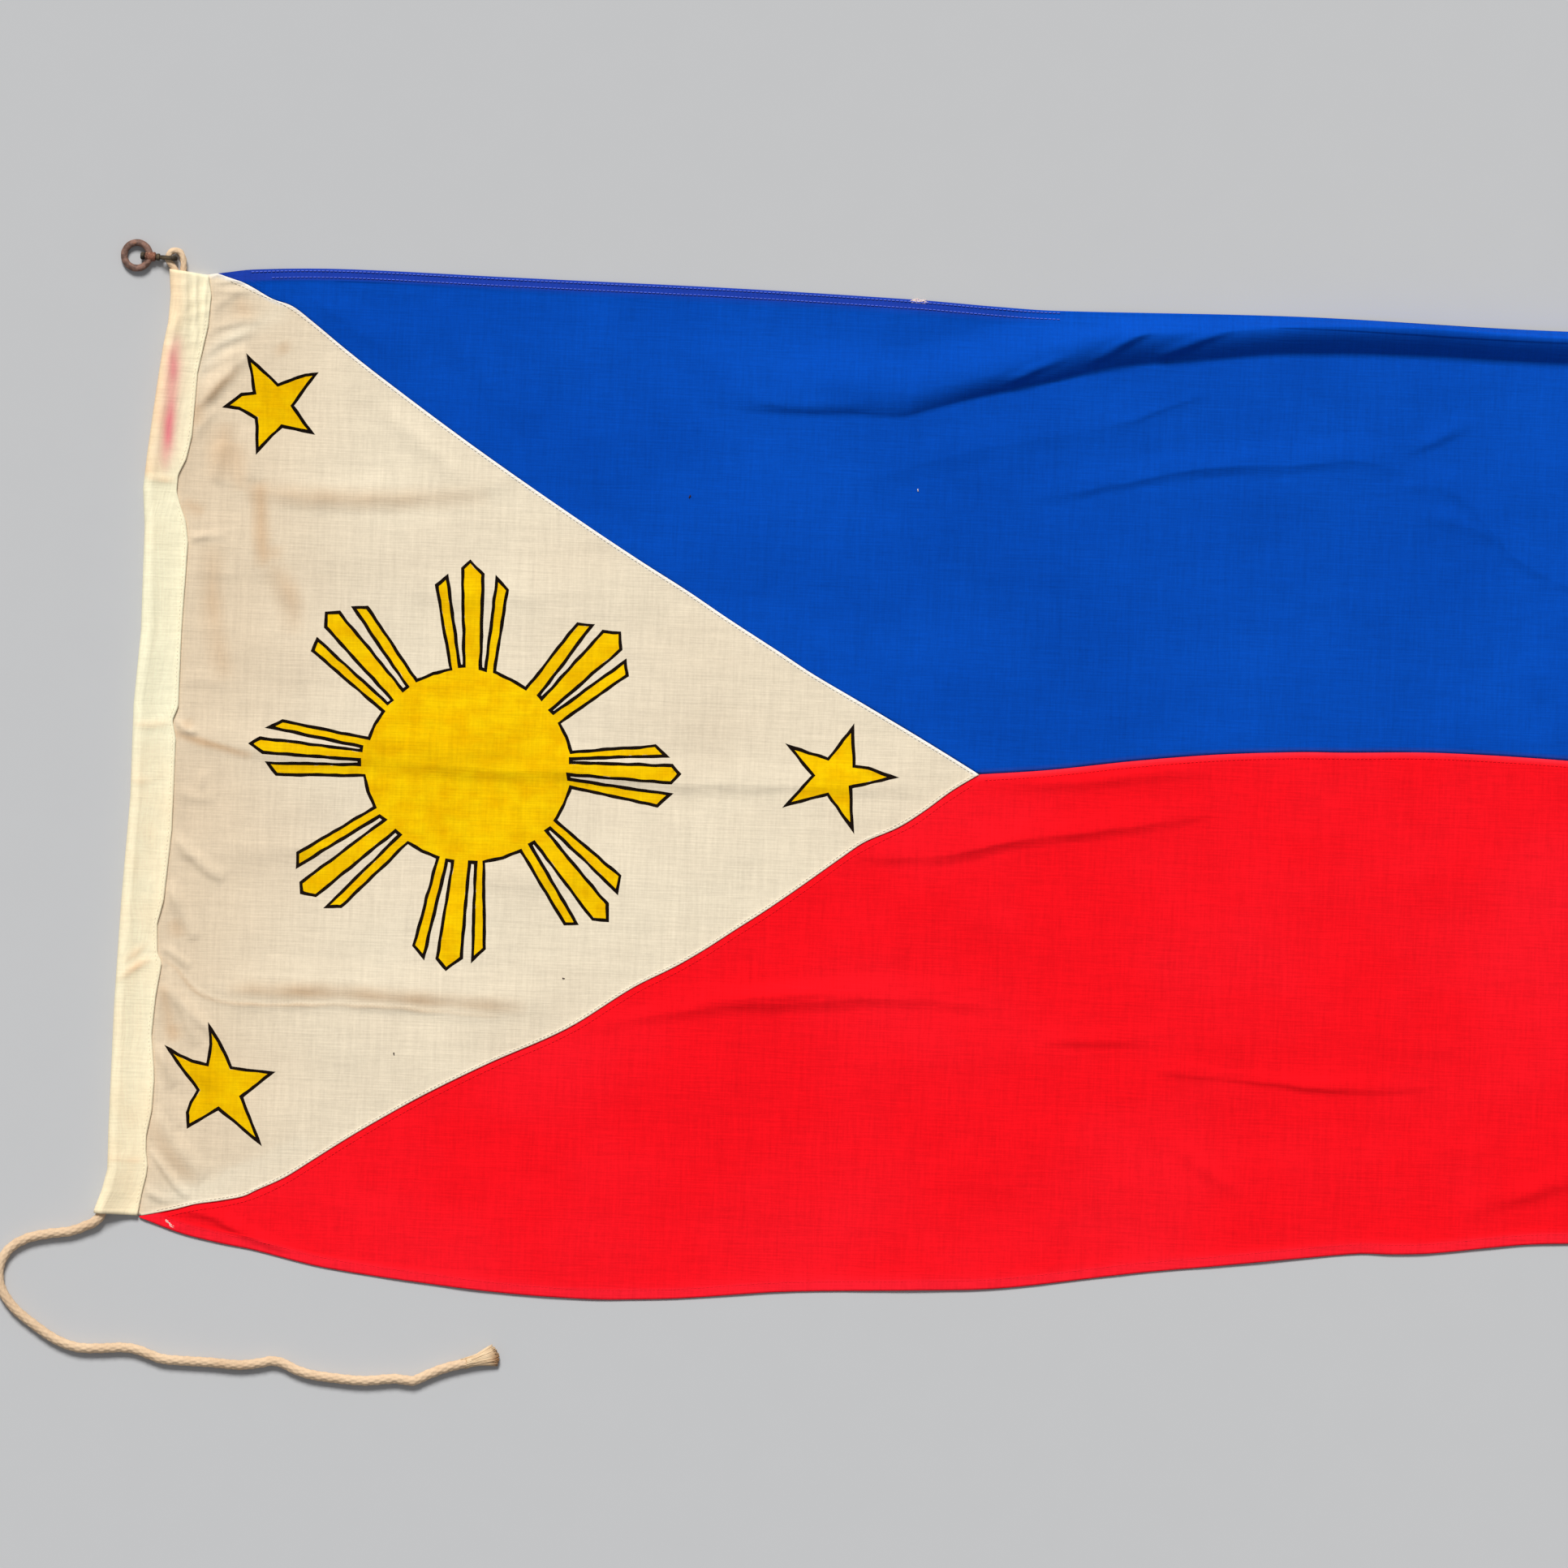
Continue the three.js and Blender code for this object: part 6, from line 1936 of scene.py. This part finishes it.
@dataclass(frozen=True)
class Needlework:
    """All the flag's visible sewing."""

    lie: ClothLie
    heading: Heading
    hem_rise: float = 0.0005
    heading_rows_run: Point = (-0.322, 0.354)  # up the hoist
    heading_knots: int = 60
    hair: float = 0.00034  # width of the red thread
    short: float = 0.004  # how far rows stop before the apex and the fly hem

    def hem_face(self, x: Array, y: Array) -> Array:
        """Face of the cloth where it is turned."""
        return self.lie.heights(x, y) + self.hem_rise

    def heading_face(self, x: Array, y: Array) -> Array:
        """Face of the heading's upper layer."""
        return self.heading.layer_top + self.heading.wrinkles(x, y)

    def beside_heading(self, line: EdgeLine, offset: float) -> tuple[Point, ...]:
        """A route up the heading, beside one of its long edges."""
        heights = np.linspace(*self.heading_rows_run, self.heading_knots)
        return tuple(zip((line.at(heights) + offset).tolist(), heights.tolist()))

    def build(self) -> list[bpy.types.Object]:
        """Builds every thread's stitches."""
        violet = ThreadFinish("violet_thread", srgb(84, 108, 216))
        red = ThreadFinish("red_thread", srgb(248, 28, 40))
        cream = ThreadFinish("cream_thread", srgb(250, 238, 214))
        top_rows = (
            StitchRow(beside(TOP_HEM, -0.6, -0.012, -0.0017), length=0.0028, width=0.001),
            StitchRow(beside(TOP_HEM, -0.585, -0.012, -0.0063), length=0.0028, width=0.0009),
        )
        to_apex, to_fly = APEX[0] - self.short, FLY_END - self.short
        red_rows = (
            StitchRow(beside(BOTTOM_HEM, -0.64, to_fly, 0.0068), width=self.hair),
            StitchRow(beside(MID_SEAM, APEX[0] + self.short, to_fly, -0.0042), width=self.hair),
            StitchRow(beside(LOWER_SEAM, -0.64, to_apex, -0.0042), width=self.hair),
        )
        cream_rows = (
            StitchRow(beside(LOWER_SEAM, -0.645, to_apex, 0.0018)),
            StitchRow(beside(UPPER_SEAM, -0.615, to_apex, -0.0018)),
        )
        heading_rows = (
            StitchRow(self.beside_heading(HEADING_INNER, -0.0022)),
            StitchRow(self.beside_heading(HEADING_OUTER, 0.0132)),
        )
        return [
            Stitching("top_hem_stitches", violet, Slot.BLUE, self.hem_face, top_rows).build(),
            Stitching("red_stitches", red, Slot.RED, self.hem_face, red_rows).build(),
            Stitching("seam_stitches", cream, Slot.UNDYED, self.hem_face, cream_rows).build(),
            Stitching("heading_stitches", cream, Slot.CANVAS, self.heading_face, heading_rows).build(),
        ]


# ---- stage ---------------------------------------------------------------------------------------------


@dataclass(frozen=True)
class Stage:
    """A pale floor, soft light from beyond the top hem and a camera looking straight down."""

    aim: Point = (-0.2005, 0.0012)
    view_width: float = 1.1379
    roll: float = math.radians(2)
    lens: float = 250.0
    sensor: float = 36.0
    floor_size: float = 24.0
    sun_strength: float = 3.26
    sun_elevation: float = math.radians(46)
    sun_azimuth: float = math.radians(101)
    sun_softness: float = math.radians(20)
    sun_colour: Point3 = (1.0, 0.985, 0.96)
    sky: Colour = (0.93, 0.96, 1.0, 1.0)
    sky_strength: float = 0.26

    def build_camera(self) -> None:
        """Puts the camera above the flag."""
        data = bpy.data.cameras.new("camera")
        data.lens = self.lens
        data.sensor_width = self.sensor
        data.clip_end = 60.0
        camera = bpy.data.objects.new("camera", data)
        distance = self.view_width / self.sensor * self.lens
        camera.location = (*self.aim, distance)
        camera.rotation_euler = (0, 0, self.roll)
        bpy.context.scene.collection.objects.link(camera)
        bpy.context.scene.camera = camera

    def build_floor(self) -> None:
        """Lays the floor."""
        bm = bmesh.new()
        bmesh.ops.create_grid(bm, x_segments=4, y_segments=4, size=self.floor_size / 2)
        floor = add_object("floor", bm)
        floor.data.materials.append(FloorFinish().make())

    def build_light(self) -> None:
        """Adds a broad soft light and an even sky."""
        data = bpy.data.lights.new("soft_light", "SUN")
        data.energy = self.sun_strength
        data.angle = self.sun_softness
        data.color = self.sun_colour
        light = bpy.data.objects.new("soft_light", data)
        towards = Vector((
            math.cos(self.sun_elevation) * math.cos(self.sun_azimuth),
            math.cos(self.sun_elevation) * math.sin(self.sun_azimuth),
            math.sin(self.sun_elevation),
        ))
        light.rotation_euler = towards.to_track_quat("Z", "Y").to_euler()
        bpy.context.scene.collection.objects.link(light)
        world = bpy.data.worlds.new("sky")
        world.use_nodes = True
        background = world.node_tree.nodes["Background"]
        background.inputs["Color"].default_value = self.sky
        background.inputs["Strength"].default_value = self.sky_strength
        bpy.context.scene.world = world
        bpy.context.scene.view_settings.view_transform = "Standard"


def main() -> None:
    """Builds the flag and its stage."""
    logging.basicConfig(level=logging.INFO, format="%(name)s: %(message)s")
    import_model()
    stage = Stage()
    stage.build_camera()

    lie = ClothLie()
    heading = Heading()
    rigging = Rigging(heading)
    rigging.build_tail()
    rigging.build_hoist_rope()
    rigging.build_eye()

    TrianglePanel(lie).build()
    BlueBand(lie).build()
    RedBand(lie).build()
    heading.build()
    Needlework(lie, heading).build()
    LooseThreads(lie).build()

    swivel = SwivelRing()
    swivel.build_ring()
    swivel.build_swivel()

    stage.build_floor()
    stage.build_light()


if __name__ == "__main__":
    main()
